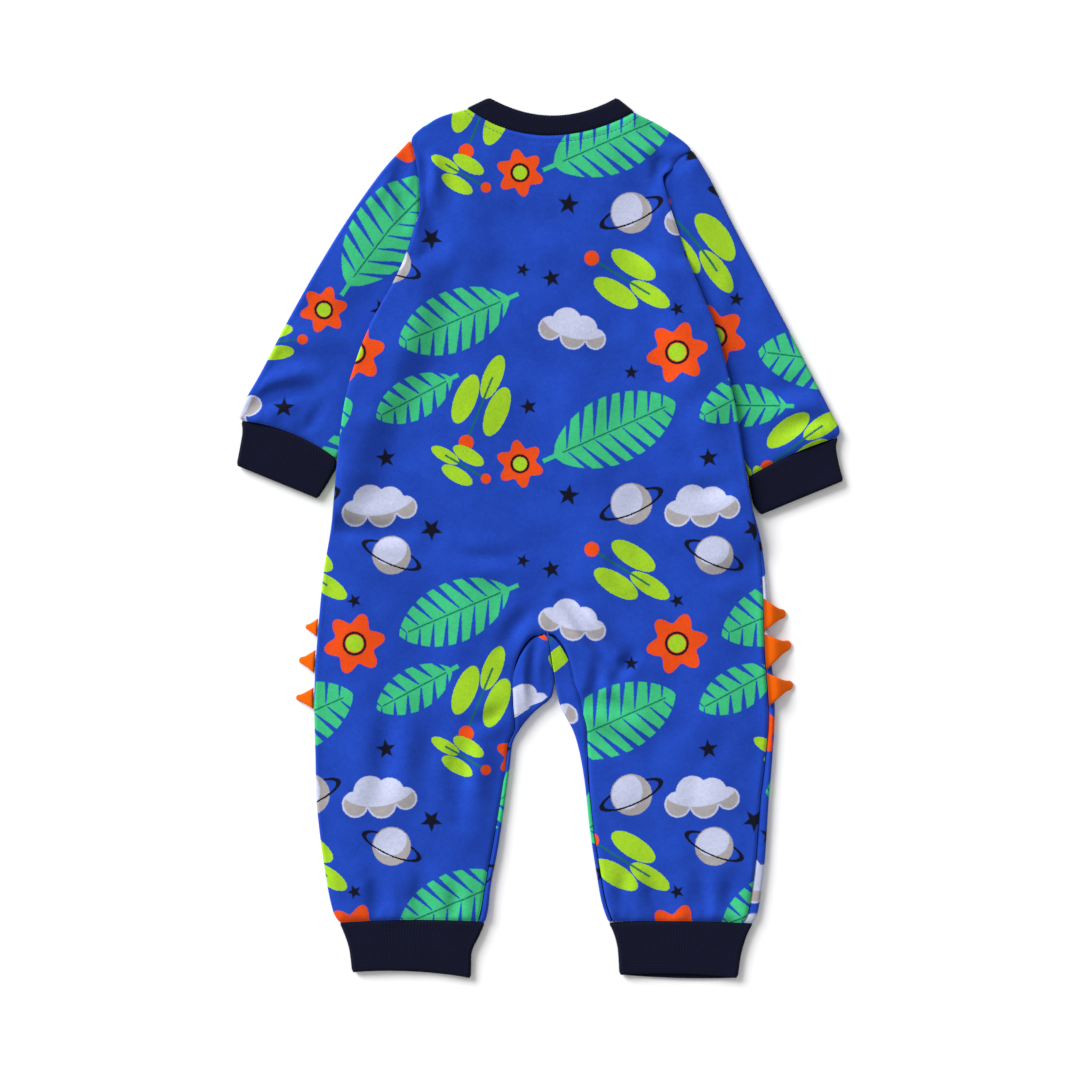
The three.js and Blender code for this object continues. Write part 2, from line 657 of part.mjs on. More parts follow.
function frontPanel(side) {
  const rows = bodySections.map((section) => frontHalf(side, section));
  const outer = rows.map((row) => row.map((pair) => pair[0]));
  const inner = rows.map((row) => row.map((pair) => pair[1]));
  const wrap = frontEdgeColumns[side] + frontFlatColumns;
  return clothWall(outer, inner, (row, column) => column < wrap || bodySections[row] >= wrapStart);
}

addPiece("back_panel", backPanel(), royalBlue);
addPiece("front_panel_left", frontPanel("left"), royalBlue);
addPiece("front_panel_right", frontPanel("right"), royalBlue);

const foldSteps = 2;
const foldTurn = 2.3; // how far round the fold its points go, to each side of its outermost line

/** The points of a flattened tube's fold, at the edge where t is 0 or 1, from the top wall to the bottom. */
function tubeFold(topAt, bottomAt, edgeT, top) {
  const edge = topAt(edgeT);
  return steps(2 * foldSteps, foldTurn, -foldTurn).map((turn) => {
    const inside = (turn >= 0 ? topAt : bottomAt)(mix(edgeT, 0.5, 0.08));
    const run = distance(edge, inside);
    const { outer, inner } = onFold(turn, top / 2, top, 0);
    return [outer, inner].map(({ inset, z }) => [...mixPoint(edge, inside, inset / run), z]);
  });
}

/** The points of one wall of a flattened tube for each t, outer and inner. */
function tubeWall(at, fractions, heightAt) {
  return fractions.map((t) => {
    const point = at(t);
    const isTop = heightAt !== null;
    const z = isTop ? heightAt(point) : 0;
    return [[...point, z], [...point, z + (isTop ? -wall : wall)]];
  });
}

const firstT = 0.045; // where a tube's flat walls begin beside its folds

/** A ring round a flattened tube: `topAt` and `bottomAt` give plan points for t from edge to edge. */
function flatRing(topAt, bottomAt, heightAt, columns) {
  const fractions = steps(columns, firstT, 1 - firstT);
  const heights = [0, 1].map((t) => heightAt(topAt(mix(t, 0.5, 2 * firstT))));
  const ring = [
    ...tubeWall(topAt, fractions, heightAt),
    ...tubeFold(topAt, bottomAt, 1, heights[1]),
    ...tubeWall(bottomAt, [...fractions].reverse(), null),
    ...tubeFold(topAt, bottomAt, 0, heights[0]).reverse(),
  ];
  return { outer: ring.map((pair) => pair[0]), inner: ring.map((pair) => pair[1]) };
}

/** A sleeve's height: low along the armhole, under the body and at the wrist. */
function sleeveTop(side) {
  const outline = footprints[side];
  return (point) => {
    const away = distanceToLine(point, outline, true);
    const fromBody = distanceToLine(point, steps(12, 0, 8).map((k) => onSleeve(side, k, 1)), false);
    const loft = sleeveLoft * ease(away, 0, 26) * ease(fromBody, 24, 50);
    return edgeHeight + loft + creaseAt(point) * ease(away, 2, 8) * ease(fromBody, 20, 36);
  };
}

const sleeveColumns = 8;

function sleeve(side) {
  const last = sleeves[side].table.length - 1;
  const start = 0.02;
  const sections = [start, 0.5, 1, 1.6, 2.3, 3, 4, 5, 6, 7, last - 0.05];
  const rings = sections.map((section) => {
    const at = (t) => onSleeve(side, section, t);
    return flatRing(at, at, sleeveTop(side), sleeveColumns);
  });
  return clothTube(rings.map((ring) => ring.outer), rings.map((ring) => ring.inner));
}

/** A line from one edge to the other, bowed across its middle. */
function bowed(left, right, bow) {
  const length = distance(left, right);
  return (t) => {
    const point = mixPoint(left, right, t);
    const off = (bow * 4 * t * (1 - t)) / length;
    return [point[0] - off * (right[1] - left[1]), point[1] + off * (right[0] - left[0])];
  };
}

const cuffColumns = 8;

function cuff(table) {
  const rings = steps(3, 0, table.length - 1).map((section) => {
    const read = (column) => along(table, column, section);
    const left = [read(0), read(1)];
    const right = [read(2), read(3)];
    return flatRing(bowed(left, right, read(4)), bowed(left, right, read(5)), () => edgeHeight, cuffColumns);
  });
  return clothTube(rings.map((ring) => ring.outer), rings.map((ring) => ring.inner));
}

addPiece("sleeve_left", sleeve("left"), royalBlue);
addPiece("sleeve_right", sleeve("right"), royalBlue);
addPiece("wrist_cuff_left", cuff(leftWristSections), navyRib);
addPiece("wrist_cuff_right", cuff(rightWristSections), navyRib);
addPiece("ankle_cuff_left", cuff(leftAnkleSections), navyRib);
addPiece("ankle_cuff_right", cuff(rightAnkleSections), navyRib);

const neckClearance = 0.39; // between the band and the body at the neck seam

/** The neck seam in plan, from the left fold (t = 0) to the right fold (t = 1). */
function neckSeam(layer, t) {
  const side = t < 0.5 ? "left" : "right";
  const line = bodyLine(side, layer, 0);
  const s = line.length * Math.abs(1 - 2 * t);
  const point = onLine(line, s);
  const nearer = onLine(line, s * 0.98 + 0.01);
  const upwards = (Math.sign(point[0] - nearer[0]) * neckClearance) / distance(point, nearer);
  return [point[0] - upwards * (point[1] - nearer[1]), point[1] + upwards * (point[0] - nearer[0])];
}

/** The t at which a plan line reaches an x. */
function crossing(at, x) {
  let low = 0;
  let high = 1;
  while (high - low > 1e-6) {
    const middle = (low + high) / 2;
    if (at(middle)[0] < x) low = middle;
    else high = middle;
  }
  return low;
}

const neckColumns = 12;

/** The neckband is one strip: from the zip round the left fold, over the back, and on to the zip again. */
function neckband() {
  const { left, right, backBow, frontBow } = neckbandTop;
  const rows = steps(2, 0, 1).map((v) => {
    const back = (t) => mixPoint(neckSeam("back", t), bowed(left, right, backBow)(t), v);
    const front = (t) => mixPoint(neckSeam("front", t), bowed(left, right, frontBow)(t), v);
    const clear = zipHalf + seamGap;
    const height = () => edgeHeight;
    return [
      ...tubeWall(front, steps(neckColumns / 2, crossing(front, centreX - clear), firstT), null),
      ...tubeFold(back, front, 0, edgeHeight).reverse(),
      ...tubeWall(back, steps(neckColumns, firstT, 1 - firstT), height),
      ...tubeFold(back, front, 1, edgeHeight),
      ...tubeWall(front, steps(neckColumns / 2, 1 - firstT, crossing(front, centreX + clear)), null),
    ];
  });
  const [outer, inner] = [0, 1].map((surface) => rows.map((row) => row.map((pair) => pair[surface])));
  return clothWall(outer, inner);
}

addPiece("neckband", neckband(), navyRib);

/** The zip's tape lies between the two fronts, a little off the surface for the teeth under it. */
function zipTape() {
  const teethHeight = 0.9;
  const thickness = 1.1;
  // columns: height in Y, share of the full width
  const stops = [
    [270.8, 1],
    [200, 1],
    [100, 1],
    [0, 1],
    [-22, 1],
    [-40, 0.3],
  ];
  const sheet = (z) =>
    stops.map(([y, share]) => [-1, 1].map((sign) => [centreX + sign * zipHalf * share, y, z]));
  return clothWall(sheet(teethHeight + thickness), sheet(teethHeight));
}

addPiece("zip_tape", zipTape(), navyRib);

/** The zip's slider, under the tape at the neck, where the zip is closed. */
function zipSlider() {
  const [length, lowerEnd, thickness] = [9, 260, 0.6];
  const [wide, narrow] = [3.6, 2.4]; // half widths
  const shoulder = length * 0.55;
  const outline = new THREE.Shape();
  outline.moveTo(-narrow, 0);
  outline.lineTo(narrow, 0);
  outline.lineTo(wide, shoulder);
  outline.quadraticCurveTo(wide, length, 0, length);
  outline.quadraticCurveTo(-wide, length, -wide, shoulder);
  outline.closePath();
  const depth = { depth: thickness, bevelEnabled: false, curveSegments: 6 };
  const geometry = new THREE.ExtrudeGeometry(outline, depth);
  geometry.translate(centreX, lowerEnd, 0);
  return geometry;
}

addPiece("zip_slider", zipSlider(), navyPlastic);

/** The section number at which the outer edge of the body passes a height. */
function sectionAtHeight(side, y) {
  let low = 8;
  let high = ankle;
  while (high - low > 0.001) {
    const middle = (low + high) / 2;
    if (bodyLine(side, "back", middle).edge[1] > y) low = middle;
    else high = middle;
  }
  return low;
}

const spikeAcross = 4;
const spikeRows = [0, 0.22, 0.44, 0.64, 0.8, 0.91, 0.97, 1]; // places along a spike
const spikeClearance = 0.36; // between a spike and its seam
const tipWidth = 0.27; // a spike's width where its round tip begins, as a share of its base
const tipStart = 0.82; // and where that is, along it
// Height of a spike's base, and how far along it its droop to the surface starts.
const spikeDroop = {
  left: { height: 1.4, start: 0.1 }, // from under the back's edge
  right: { height: 5.4, start: 0.3 }, // over the front's strip
};

/** A spike's width at v along it, as a share of its base. */
function spikeTaper(v) {
  const flank = (1 - v) ** 1.08;
  const intoTip = clamp((v - tipStart) / (1 - tipStart), 0, 1);
  const round = Math.sqrt(1 - intoTip ** 2);
  return Math.max(Math.hypot(flank, tipWidth * round * ease(v, 0, 0.9)), 0.03);
}

/** A flat spike from the side seam: hollow flanks, a round tip, drooping to the surface. */
function spike(side, [upperY, lowerY, tipX, tipY]) {
  const sections = [upperY, lowerY].map((y) => sectionAtHeight(side, y));
  const outwards = side === "left" ? -1 : 1;
  const base = (u) => {
    const section = mix(sections[0], sections[1], u);
    const inset = Math.max(0, sideSeam(side, section));
    const line = bodyLine(side, "back", section);
    const point = onLine(line, line.length - inset);
    return [point[0] + outwards * spikeClearance, point[1]];
  };
  const droop = spikeDroop[side];
  const middle = base(0.5);
  const rows = spikeRows.map((v) => {
    const taper = spikeTaper(v);
    const spine = mixPoint(middle, [tipX, tipY], v);
    const z = droop.height * (1 - ease(v, droop.start, 1));
    return steps(spikeAcross, 0, 1).map((u) => {
      const start = base(u);
      return [spine[0] + (start[0] - middle[0]) * taper, spine[1] + (start[1] - middle[1]) * taper, z];
    });
  });
  const lifted = rows.map((row) => row.map(([x, y, z]) => [x, y, z + spikeThickness]));
  return clothWall(lifted, rows);
}

leftSpikes.forEach((row, i) => addPiece(`spike_left_${i + 1}`, spike("left", row), orangeFleece));
rightSpikes.forEach((row, i) => addPiece(`spike_right_${i + 1}`, spike("right", row), orangeFleece));

export default sleeper;
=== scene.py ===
import math
from collections import namedtuple

import bpy
import numpy as np
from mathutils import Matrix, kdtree


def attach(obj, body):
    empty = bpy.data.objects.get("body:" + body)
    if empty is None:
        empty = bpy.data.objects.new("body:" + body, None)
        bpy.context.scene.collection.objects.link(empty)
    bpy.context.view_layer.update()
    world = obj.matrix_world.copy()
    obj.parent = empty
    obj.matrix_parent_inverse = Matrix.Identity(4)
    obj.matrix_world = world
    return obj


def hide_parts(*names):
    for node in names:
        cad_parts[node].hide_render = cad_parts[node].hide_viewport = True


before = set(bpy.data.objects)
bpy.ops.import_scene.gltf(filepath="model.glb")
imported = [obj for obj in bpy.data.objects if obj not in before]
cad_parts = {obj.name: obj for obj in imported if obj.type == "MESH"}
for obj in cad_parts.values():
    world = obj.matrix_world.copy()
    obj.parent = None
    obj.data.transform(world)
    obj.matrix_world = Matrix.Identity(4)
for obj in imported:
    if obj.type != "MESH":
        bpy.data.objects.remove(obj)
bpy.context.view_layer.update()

wall = 2.0  # thickness of the cloth
seam_gap = 0.3
edge_height = 5.0  # height of the folded cloth at its edges
body_loft = 1.7
sleeve_loft = 1.3
loft_reach = 32.0
sleeve_lift = 5.8  # the body's sides lie over the sleeves
lift_reach = 34.0
lift_full = 8.0
fold_rise = 2.6  # the back lies this much over each sleeve's end
fold_reach = 12.0
zip_half = 6.0
spike_thickness = 2.0
centre_x = 3.5

# Sections of the back, from the neck seam down to the crotch.
# columns: height at the centre line, left edge x, y, right edge x, y, bow of the section line
back_sections = [
    [282.2, -51.3, 301.6, 66.4, 299.0, -4.5],
    [274.1, -72.4, 294.9, 86.5, 288.6, -3.2],
    [264.3, -91.0, 279.1, 106.8, 271.7, -1.6],
    [251.7, -88.9, 265.7, 96.3, 262.2, -0.5],
    [237.6, -85.1, 250.2, 86.3, 252.6, 0],
    [222.1, -84.0, 234.8, 90.2, 236.5, 0],
    [202.4, -88.2, 217.9, 97.3, 214.4, 0],
    [174.3, -98.4, 188.4, 108.3, 183.5, 0],
    [142.7, -113.2, 161.7, 122.3, 151.8, 0],
    [107.6, -128.3, 127.9, 131.5, 118.8, 0],
    [72.4, -138.1, 90.0, 138.1, 90.0, 0],
    [37.3, -142.7, 50.6, 143.4, 56.2, 0],
    [4.2, -146.2, 12.7, 149.7, 19.7, 0],
    [-26.0, -152.2, -23.9, 156.4, -9.8, 0],
    [-49.2, -155.1, -52.0, 159.9, -43.6, 0],
]
# The front's sections where they differ from the back's.
front_sections = [
    [257.3, -51.3, 301.6, 66.4, 299.0, -11.5],
    [253.1, -72.4, 294.9, 86.5, 288.6, -8],
    [247.4, -91.0, 279.1, 106.8, 271.7, -4],
    [239.7, -88.9, 265.7, 96.3, 262.2, -1.5],
    [229.2, -85.1, 250.2, 86.3, 252.6, 0],
    [217.2, -84.0, 234.8, 85.4, 234.1, 0],
    [201.0, -86.8, 215.1, 90.0, 213.0, 0],
    [174.3, -91.2, 182.0, 97.0, 183.0, 0],
]
# Sections of the legs, from the crotch down to the ankle seam.
# columns: inner seam x, y, inner fold x, y, outer edge x, y
left_leg_sections = [
    [3.0, -66.1, 4.0, -66.6, -157.0, -75.2],
    [-5.3, -69.2, 6.3, -71.7, -158.0, -88.6],
    [-12.0, -76.3, 7.0, -78.7, -158.5, -101.2],
    [-16.9, -87.2, 8.4, -88.6, -158.9, -113.9],
    [-18.8, -99.0, 10.4, -99.8, -158.7, -126.5],
    [-19.0, -110.0, 8.6, -111.0, -158.4, -139.2],
    [-18.6, -121.0, -3.0, -121.3, -158.0, -151.8],
    [-17.9, -132.9, -13.0, -132.9, -157.8, -164.5],
    [-22.3, -144.1, -19.2, -144.6, -157.7, -175.7],
    [-24.5, -161.7, -21.1, -160.3, -156.8, -189.8],
    [-28.1, -185.6, -24.4, -184.9, -154.8, -208.8],
    [-34.1, -219.3, -29.7, -220.0, -151.5, -232.0],
    [-38.7, -244.6, -34.4, -243.9, -148.0, -252.4],
    [-41.4, -260.5, -36.4, -261.5, -144.8, -264.0],
    [-43.5, -269.0, -38.4, -270.0, -141.0, -269.9],
]
right_leg_sections = [
    [5.0, -66.1, 4.0, -66.6, 161.0, -66.1],
    [9.5, -67.8, 6.3, -71.7, 162.0, -82.2],
    [15.1, -73.8, 7.0, -78.7, 163.4, -96.3],
    [19.0, -81.5, 8.4, -88.6, 164.3, -109.0],
    [21.9, -91.7, 10.4, -99.8, 164.9, -122.3],
    [24.3, -102.6, 11.6, -108.3, 164.5, -135.0],
    [28.0, -112.5, 14.4, -118.8, 163.6, -147.6],
    [29.9, -122.3, 18.9, -127.2, 162.7, -160.3],
    [32.8, -134.6, 23.4, -136.0, 161.7, -172.9],
    [33.4, -151.0, 27.6, -150.4, 160.5, -185.6],
    [34.6, -173.6, 31.5, -173.6, 159.4, -203.9],
    [37.4, -201.7, 34.4, -201.7, 158.0, -224.9],
    [41.8, -230.6, 38.7, -230.6, 155.7, -246.0],
    [46.4, -255.5, 43.3, -256.4, 152.6, -263.5],
    [51.0, -269.0, 48.0, -270.0, 149.6, -270.3],
]
# Where the side seams lie inside the outer edges. columns: section, distance
side_seams = {
    "left": [[9, 0], [10, -0.8], [28.9, -0.8]],
    "right": [[12, 0], [13, 2], [14, 3.6], [17, 5], [20, 4.5], [22, 5.4], [24, 6.4], [28.9, 7]],
}
# Sections of the sleeves, from the armhole to the wrist.
# columns: outer edge x, y, inner edge x, y, bow towards the shoulder
left_sleeve_sections = [
    [-91.7, 278.8, -98.4, 151.8, 0],
    [-108.0, 261.0, -99.8, 144.2, 0],
    [-133.5, 226.0, -103.8, 134.3, 0],
    [-155.0, 191.5, -111.0, 121.0, 0],
    [-176.5, 153.5, -120.0, 103.5, 1],
    [-197.5, 113.2, -130.7, 82.2, 2.5],
    [-207.9, 95.0, -137.5, 66.0, 4],
    [-211.3, 85.8, -141.0, 58.5, 4.8],
    [-209.8, 82.2, -142.6, 55.4, 5],
]
right_sleeve_sections = [
    [107.6, 271.6, 108.3, 147.6, 0],
    [118.0, 254.6, 110.5, 136.0, 0],
    [136.0, 219.0, 115.5, 118.0, 0],
    [154.5, 184.0, 123.0, 99.0, 0],
    [173.5, 148.0, 131.5, 80.5, 0.5],
    [190.0, 116.0, 139.0, 62.5, 1],
    [204.0, 88.6, 143.8, 51.0, 1.6],
    [210.4, 75.6, 145.6, 45.0, 2],
    [209.3, 70.6, 146.3, 42.8, 2.2],
]
# Each sleeve's table, how its armhole seam bulges, and which way the body is.
sleeves = {
    "left": {"table": left_sleeve_sections, "bow": 9.2, "rise": 1.0, "fall": 1.5, "body": 1},
    "right": {"table": right_sleeve_sections, "bow": 21.5, "rise": 0.8, "fall": 2.0, "body": -1},
}
# Heights in Y between which the front and back climb over each sleeve's end.
climbs = {
    "left": {"front": [205, 184], "back": [252, 237]},
    "right": {"front": [207, 185], "back": [264, 254]},
}
# Sections of the cuffs, from the seam to the hem.
# columns: left edge x, y, right edge x, y, bow of the top wall, bow of the bottom wall
cuff_sections = {
    "wrist_left": [
        [-209.7, 81.8, -142.8, 55.1, 5, 5],
        [-208.9, 75.2, -142.8, 50.6, 4.4, 4.4],
        [-210.7, 63.3, -146.9, 42.2, 2.2, 2],
        [-213.1, 51.0, -156.0, 27.6, 0, 0],
    ],
    "wrist_right": [
        [146.3, 42.4, 209.3, 70.2, 2.2, 2.2],
        [147.2, 35.9, 207.9, 64.0, 1.8, 1.8],
        [149.6, 24.5, 209.6, 53.2, 0.6, 0.6],
        [154.8, 16.2, 213.1, 40.2, 0, 0],
    ],
    "ankle_left": [
        [-140.8, -270.4, -38.8, -270.6, 2.2, 2.2],
        [-138.1, -276.3, -42.2, -278.4, 1.5, 1.5],
        [-133.9, -289.2, -48.2, -293.0, 2.6, 2],
        [-132.0, -305.0, -48.5, -309.0, 3.6, 2.6],
    ],
    "ankle_right": [
        [48.2, -270.6, 149.4, -270.8, 1.5, 1.5],
        [51.0, -275.6, 145.5, -278.4, 1.5, 1],
        [54.6, -289.0, 141.2, -292.6, 1.6, 0],
        [55.7, -306.6, 138.8, -308.8, 2, -1.3],
    ],
}
ankle_bow = {"left": 1.5, "right": 0.85}
neckband_top = {"left": [-35.9, 309.2], "right": [54.1, 309.2], "back": -12.7, "front": -38.0}

# Spikes on the side seams. columns: upper end y, lower end y, tip x, tip y
spikes = {
    "left": [[-56.5, -69.2, -164.7, -62.4], [-78.6, -94.9, -169.3, -85.8], [-105.0, -120.0, -171.4, -112.2]],
    "right": [[-42.1, -65.4, 172.7, -53.4], [-67.2, -93.4, 176.4, -75.0], [-95.2, -118.9, 177.8, -103.0]],
}

# Creases of the cloth, each a soft curve through three points.
# columns: x, y at its start, middle and end, depth (a ridge is positive), half width
creases = [
    [-90, 276, -93, 264, -100, 250, -1.4, 4.5],
    [-82, 270, -82, 256, -84, 238, -1.6, 4],
    [-77, 262, -74, 248, -76, 228, 1.0, 6],
    [-97, 246, -95, 235, -96, 220, -0.9, 3.8],
    [-106, 262, -110, 248, -118, 236, 0.8, 6],
    [-70, 205, -79, 222, -84, 240, -1.0, 6],
    [72, 290, 85, 281, 101, 276, -1.2, 4],
    [82, 268, 85, 259, 88, 247, -1.1, 4],
    [60, 282, 72, 270, 76, 250, 0.7, 7],
    [-211, 86, -188, 99, -160, 106, -1.3, 5],
    [-204, 100, -184, 112, -158, 116, 0.8, 6],
    [-192, 128, -170, 126, -150, 116, -0.8, 7],
    [-165, 172, -150, 158, -132, 150, -0.7, 7],
    [-150, 96, -158, 82, -166, 76, -0.7, 4],
    [206, 84, 186, 82, 166, 72, -1.0, 5],
    [196, 104, 176, 106, 158, 98, -0.7, 6],
    [150, 190, 142, 168, 144, 148, -0.7, 7],
    [-146, 14, -127, 5, -94, 4, -1.3, 5],
    [-148, 26, -124, 20, -96, 18, 0.6, 7],
    [-58, -9, -40, -14, -20, -12, -0.9, 5],
    [16, -42, 32, -64, 50, -88, -1.6, 3.6],
    [40, -88, 39, -102, 37, -116, -1.1, 4],
    [30, -48, 42, -62, 60, -80, 1.1, 5],
    [47, -12, 52, -18, 59, -27, -0.8, 5],
    [64, -80, 60, -88, 53, -98, -1.2, 4],
    [-6, -52, -16, -60, -26, -78, -1.1, 5],
    [34, -112, 46, -116, 62, -122, -1.3, 5],
    [34, -128, 52, -132, 70, -146, 0.8, 6],
    [-108, -116, -107, -147, -115, -184, -1.1, 8],
    [-96, -120, -94, -150, -98, -180, 0.6, 9],
    [-48, -138, -56, -165, -57, -197, -1.1, 7],
    [-40, -130, -44, -160, -44, -190, 0.7, 7],
    [-26, -118, -36, -126, -50, -130, -0.9, 5],
    [76, -242, 82, -252, 90, -264, -1.2, 5],
    [110, -228, 114, -246, 112, -266, -0.8, 6],
    [60, -236, 58, -250, 62, -266, -0.8, 5],
    [134, -240, 132, -252, 134, -266, -0.8, 5],
    [-118, -236, -114, -250, -116, -266, -1.0, 5],
    [-82, -232, -84, -250, -80, -267, -0.9, 6],
    [-60, -244, -60, -256, -62, -267, -0.8, 4],
    [140, 40, 120, 34, 100, 36, -0.7, 6],
    [146, -20, 128, -26, 112, -22, -0.6, 6],
    [130, 110, 112, 100, 100, 84, -0.6, 8],
    [-118, 120, -100, 112, -84, 110, -0.6, 8],
    [-30, 226, -6, 220, 18, 224, -0.4, 10],
    [120, -150, 108, -172, 112, -200, -0.7, 9],
    [-20, 130, 10, 110, 30, 112, -0.4, 14],
    [60, 40, 70, 20, 66, -4, -0.5, 12],
    [-4, -80, -6, -98, -3, -120, -1.0, 2.6],
    [-3, -68, -4, -74, -6, -84, -0.6, 3.5],
    [-12, -84, -12, -98, -11, -112, 0.5, 4],
]
neck_stitches = [
    [-52.4, 299.2], [-40, 289.8], [-24, 282.5], [-7.8, 278.9], [4.3, 277.5], [16.4, 278.1], [40.6, 282.1],
    [56.7, 287.8], [68.0, 295.2],
]


def clamp(value, low, high):
    """The value, or the limit that it passes."""
    return np.minimum(np.maximum(value, low), high)


def mix(a, b, t):
    """a where t is 0, b where it is 1, and in proportion between."""
    return a + (b - a) * t


def ease(value, start, end):
    """0 below `start`, 1 above `end`, and a soft step between them."""
    t = clamp((np.asarray(value, float) - start) / (end - start), 0, 1)
    return t * t * (3 - 2 * t)


def spread(points):
    """A plan point for each pair of coordinates, as one array."""
    return np.stack(np.broadcast_arrays(*points), -1)


def length_of(vectors):
    """The length of each vector in an array."""
    return np.sqrt((vectors**2).sum(-1))


def distances(points):
    """The distance along a row of points to each of them."""
    return np.concatenate([[0], np.cumsum(length_of(np.diff(points, axis=0)))])


def along(table, column, at):
    """A smooth curve through a table's column, which never overshoots its rows."""
    values = np.array([row[column] for row in table], float)
    last = len(values) - 1
    at = np.asarray(at, float)
    i = np.clip(np.floor(at).astype(int), 0, last - 1)
    step = np.diff(values)
    slope = np.empty(last + 1)
    slope[0], slope[last] = step[0], step[-1]
    product, total = step[:-1] * step[1:], step[:-1] + step[1:]
    slope[1:last] = np.where(product > 0, 2 * product / np.where(total == 0, 1, total), 0)
    t = at - i
    t2, t3 = t * t, t**3
    return (
        values[i] * (2 * t3 - 3 * t2 + 1) + slope[i] * (t3 - 2 * t2 + t)
        + values[i + 1] * (3 * t2 - 2 * t3) + slope[i + 1] * (t3 - t2)
    )


crotch = len(back_sections)
ankle = crotch + len(left_leg_sections) - 1
wrap_start = crotch + 0.04  # below this the front's cloth is turned up to the crotch seam


def body_table(side, sections):
    """One table for a side of the body. columns: inner seam x, y, inner fold x, y, outer edge x, y, bow"""
    legs = left_leg_sections if side == "left" else right_leg_sections
    edge = 1 if side == "left" else 3
    upper = [[centre_x, row[0], centre_x, row[0], row[edge], row[edge + 1], row[5]] for row in sections]
    return upper + [[*row, 0] for row in legs]


front_body = front_sections + back_sections[len(front_sections):]
body_tables = {
    side: {"back": body_table(side, back_sections), "front": body_table(side, front_body)}
    for side in ("left", "right")
}
Line = namedtuple("Line", "fold seam edge bow inner length")


def body_line(side, layer, section):
    """The plan of the sections: inner fold, inner seam and outer edge, and their lengths."""
    table = body_tables[side][layer]
    section = np.atleast_1d(np.asarray(section, float))
    seam = spread([along(table, 0, section), along(table, 1, section)])
    leg_fold = spread([along(table, 2, section), along(table, 3, section)])
    fold = np.where((section < crotch)[:, None], seam, leg_fold)
    edge = beside_armhole(side, layer, spread([along(table, 4, section), along(table, 5, section)]))
    inner = length_of(seam - fold)
    bow = along(table, 6, section) + ankle_bow[side] * ease(section, ankle - 1, ankle)
    return Line(fold, seam, edge, bow, inner, inner + length_of(edge - seam))


def beside_armhole(side, layer, edge):
    """Moves outer edge points on to the armhole seam, where their layer meets the sleeve there."""
    sleeve = sleeves[side]
    top, bottom = sleeve["table"][0][1], sleeve["table"][0][3]
    seam = on_sleeve(side, 0.0, clamp((top - edge[:, 1]) / (top - bottom), 0, 1))
    fold_ends = climbs[side][layer][1]
    on_seam = ease(edge[:, 1], fold_ends, fold_ends + 6) * ease(edge[:, 1], top, top - 1)
    return spread([mix(edge[:, 0], seam[:, 0] + sleeve["body"] * seam_gap * 0.8, on_seam), edge[:, 1]])


def on_line(line, s):
    """The plan points at distances s from the sections' inner folds, with a row for each section."""
    s = np.asarray(s, float)
    inner = line.inner[:, None]
    outer = (line.length - line.inner)[:, None]
    seam, fold, edge = line.seam[:, None, :], line.fold[:, None, :], line.edge[:, None, :]
    turned = mix(fold, seam, (s / np.maximum(inner, 1e-9))[..., None])
    t = (s - inner) / outer
    point = mix(seam, edge, t[..., None])
    lift = line.bow[:, None] * 4 * t * (1 - t)
    across = np.sign(edge[..., 0] - seam[..., 0])
    x = point[..., 0] - lift * across * (edge[..., 1] - seam[..., 1]) / outer
    y = point[..., 1] + lift * across * (edge[..., 0] - seam[..., 0]) / outer
    return np.where((s < inner)[..., None], turned, spread([x, y]))


def armhole_shape(t, rise, fall):
    """The shape of an armhole seam: 0 at its ends and 1 at its fullest."""
    fullest = rise / (rise + fall)
    return (t**rise * (1 - t) ** fall) / (fullest**rise * (1 - fullest) ** fall)


def on_sleeve(side, section, t):
    """The plan points at fractions t of a sleeve's sections, from its outer edge to its inner edge."""
    sleeve = sleeves[side]
    table, towards = sleeve["table"], sleeve["body"]
    section, t = np.broadcast_arrays(np.asarray(section, float), np.asarray(t, float))
    outer = spread([along(table, 0, section), along(table, 1, section)])
    inner = spread([along(table, 2, section), along(table, 3, section)])
    point = mix(outer, inner, t[..., None])
    bulge = sleeve["bow"] * np.maximum(0, 1 - section / 3) ** 2
    bulge = bulge * armhole_shape(clamp(t, 0, 1), sleeve["rise"], sleeve["fall"])
    bow = along(table, 4, section) * 4 * t * (1 - t) * towards / length_of(inner - outer)
    x = point[..., 0] + towards * bulge - bow * (inner - outer)[..., 1]
    y = point[..., 1] + bow * (inner - outer)[..., 0]
    return spread([x, y])


def nearest_on_line(points, line, closed=False):
    """For each point, the distance to a line through plan points, and the fraction along it."""
    points = np.asarray(points, float)
    nearest = np.full(points.shape[:-1], np.inf)
    fraction = np.zeros(points.shape[:-1])
    count = len(line) if closed else len(line) - 1
    for i in range(count):
        a, b = np.asarray(line[i]), np.asarray(line[(i + 1) % len(line)])
        d = b - a
        t = clamp(((points - a) @ d) / ((d @ d) or 1), 0, 1)
        away = length_of(points - a - t[..., None] * d)
        closer = away < nearest
        nearest = np.where(closer, away, nearest)
        fraction = np.where(closer, (i + t) / count, fraction)
    return nearest, fraction


def is_inside(points, outline):
    """Whether each plan point lies inside a closed outline."""
    inside = np.zeros(points.shape[:-1], bool)
    for i, a in enumerate(outline):
        b = outline[(i + 1) % len(outline)]
        crosses = (a[1] > points[..., 1]) != (b[1] > points[..., 1])
        run = b[1] - a[1] or 1
        inside ^= crosses & (points[..., 0] < (b[0] - a[0]) * (points[..., 1] - a[1]) / run + a[0])
    return inside


def body_outline(side):
    """The body's outline on one side, from the neck down the outside and up the inside to the crotch."""
    outside = body_line(side, "back", np.linspace(0, ankle, 61)).edge
    inside = body_line(side, "back", np.linspace(ankle, crotch + 5, 29)).fold
    return np.concatenate([outside, inside])


body_edge = np.concatenate([body_outline("left"), body_outline("right")[::-1]])


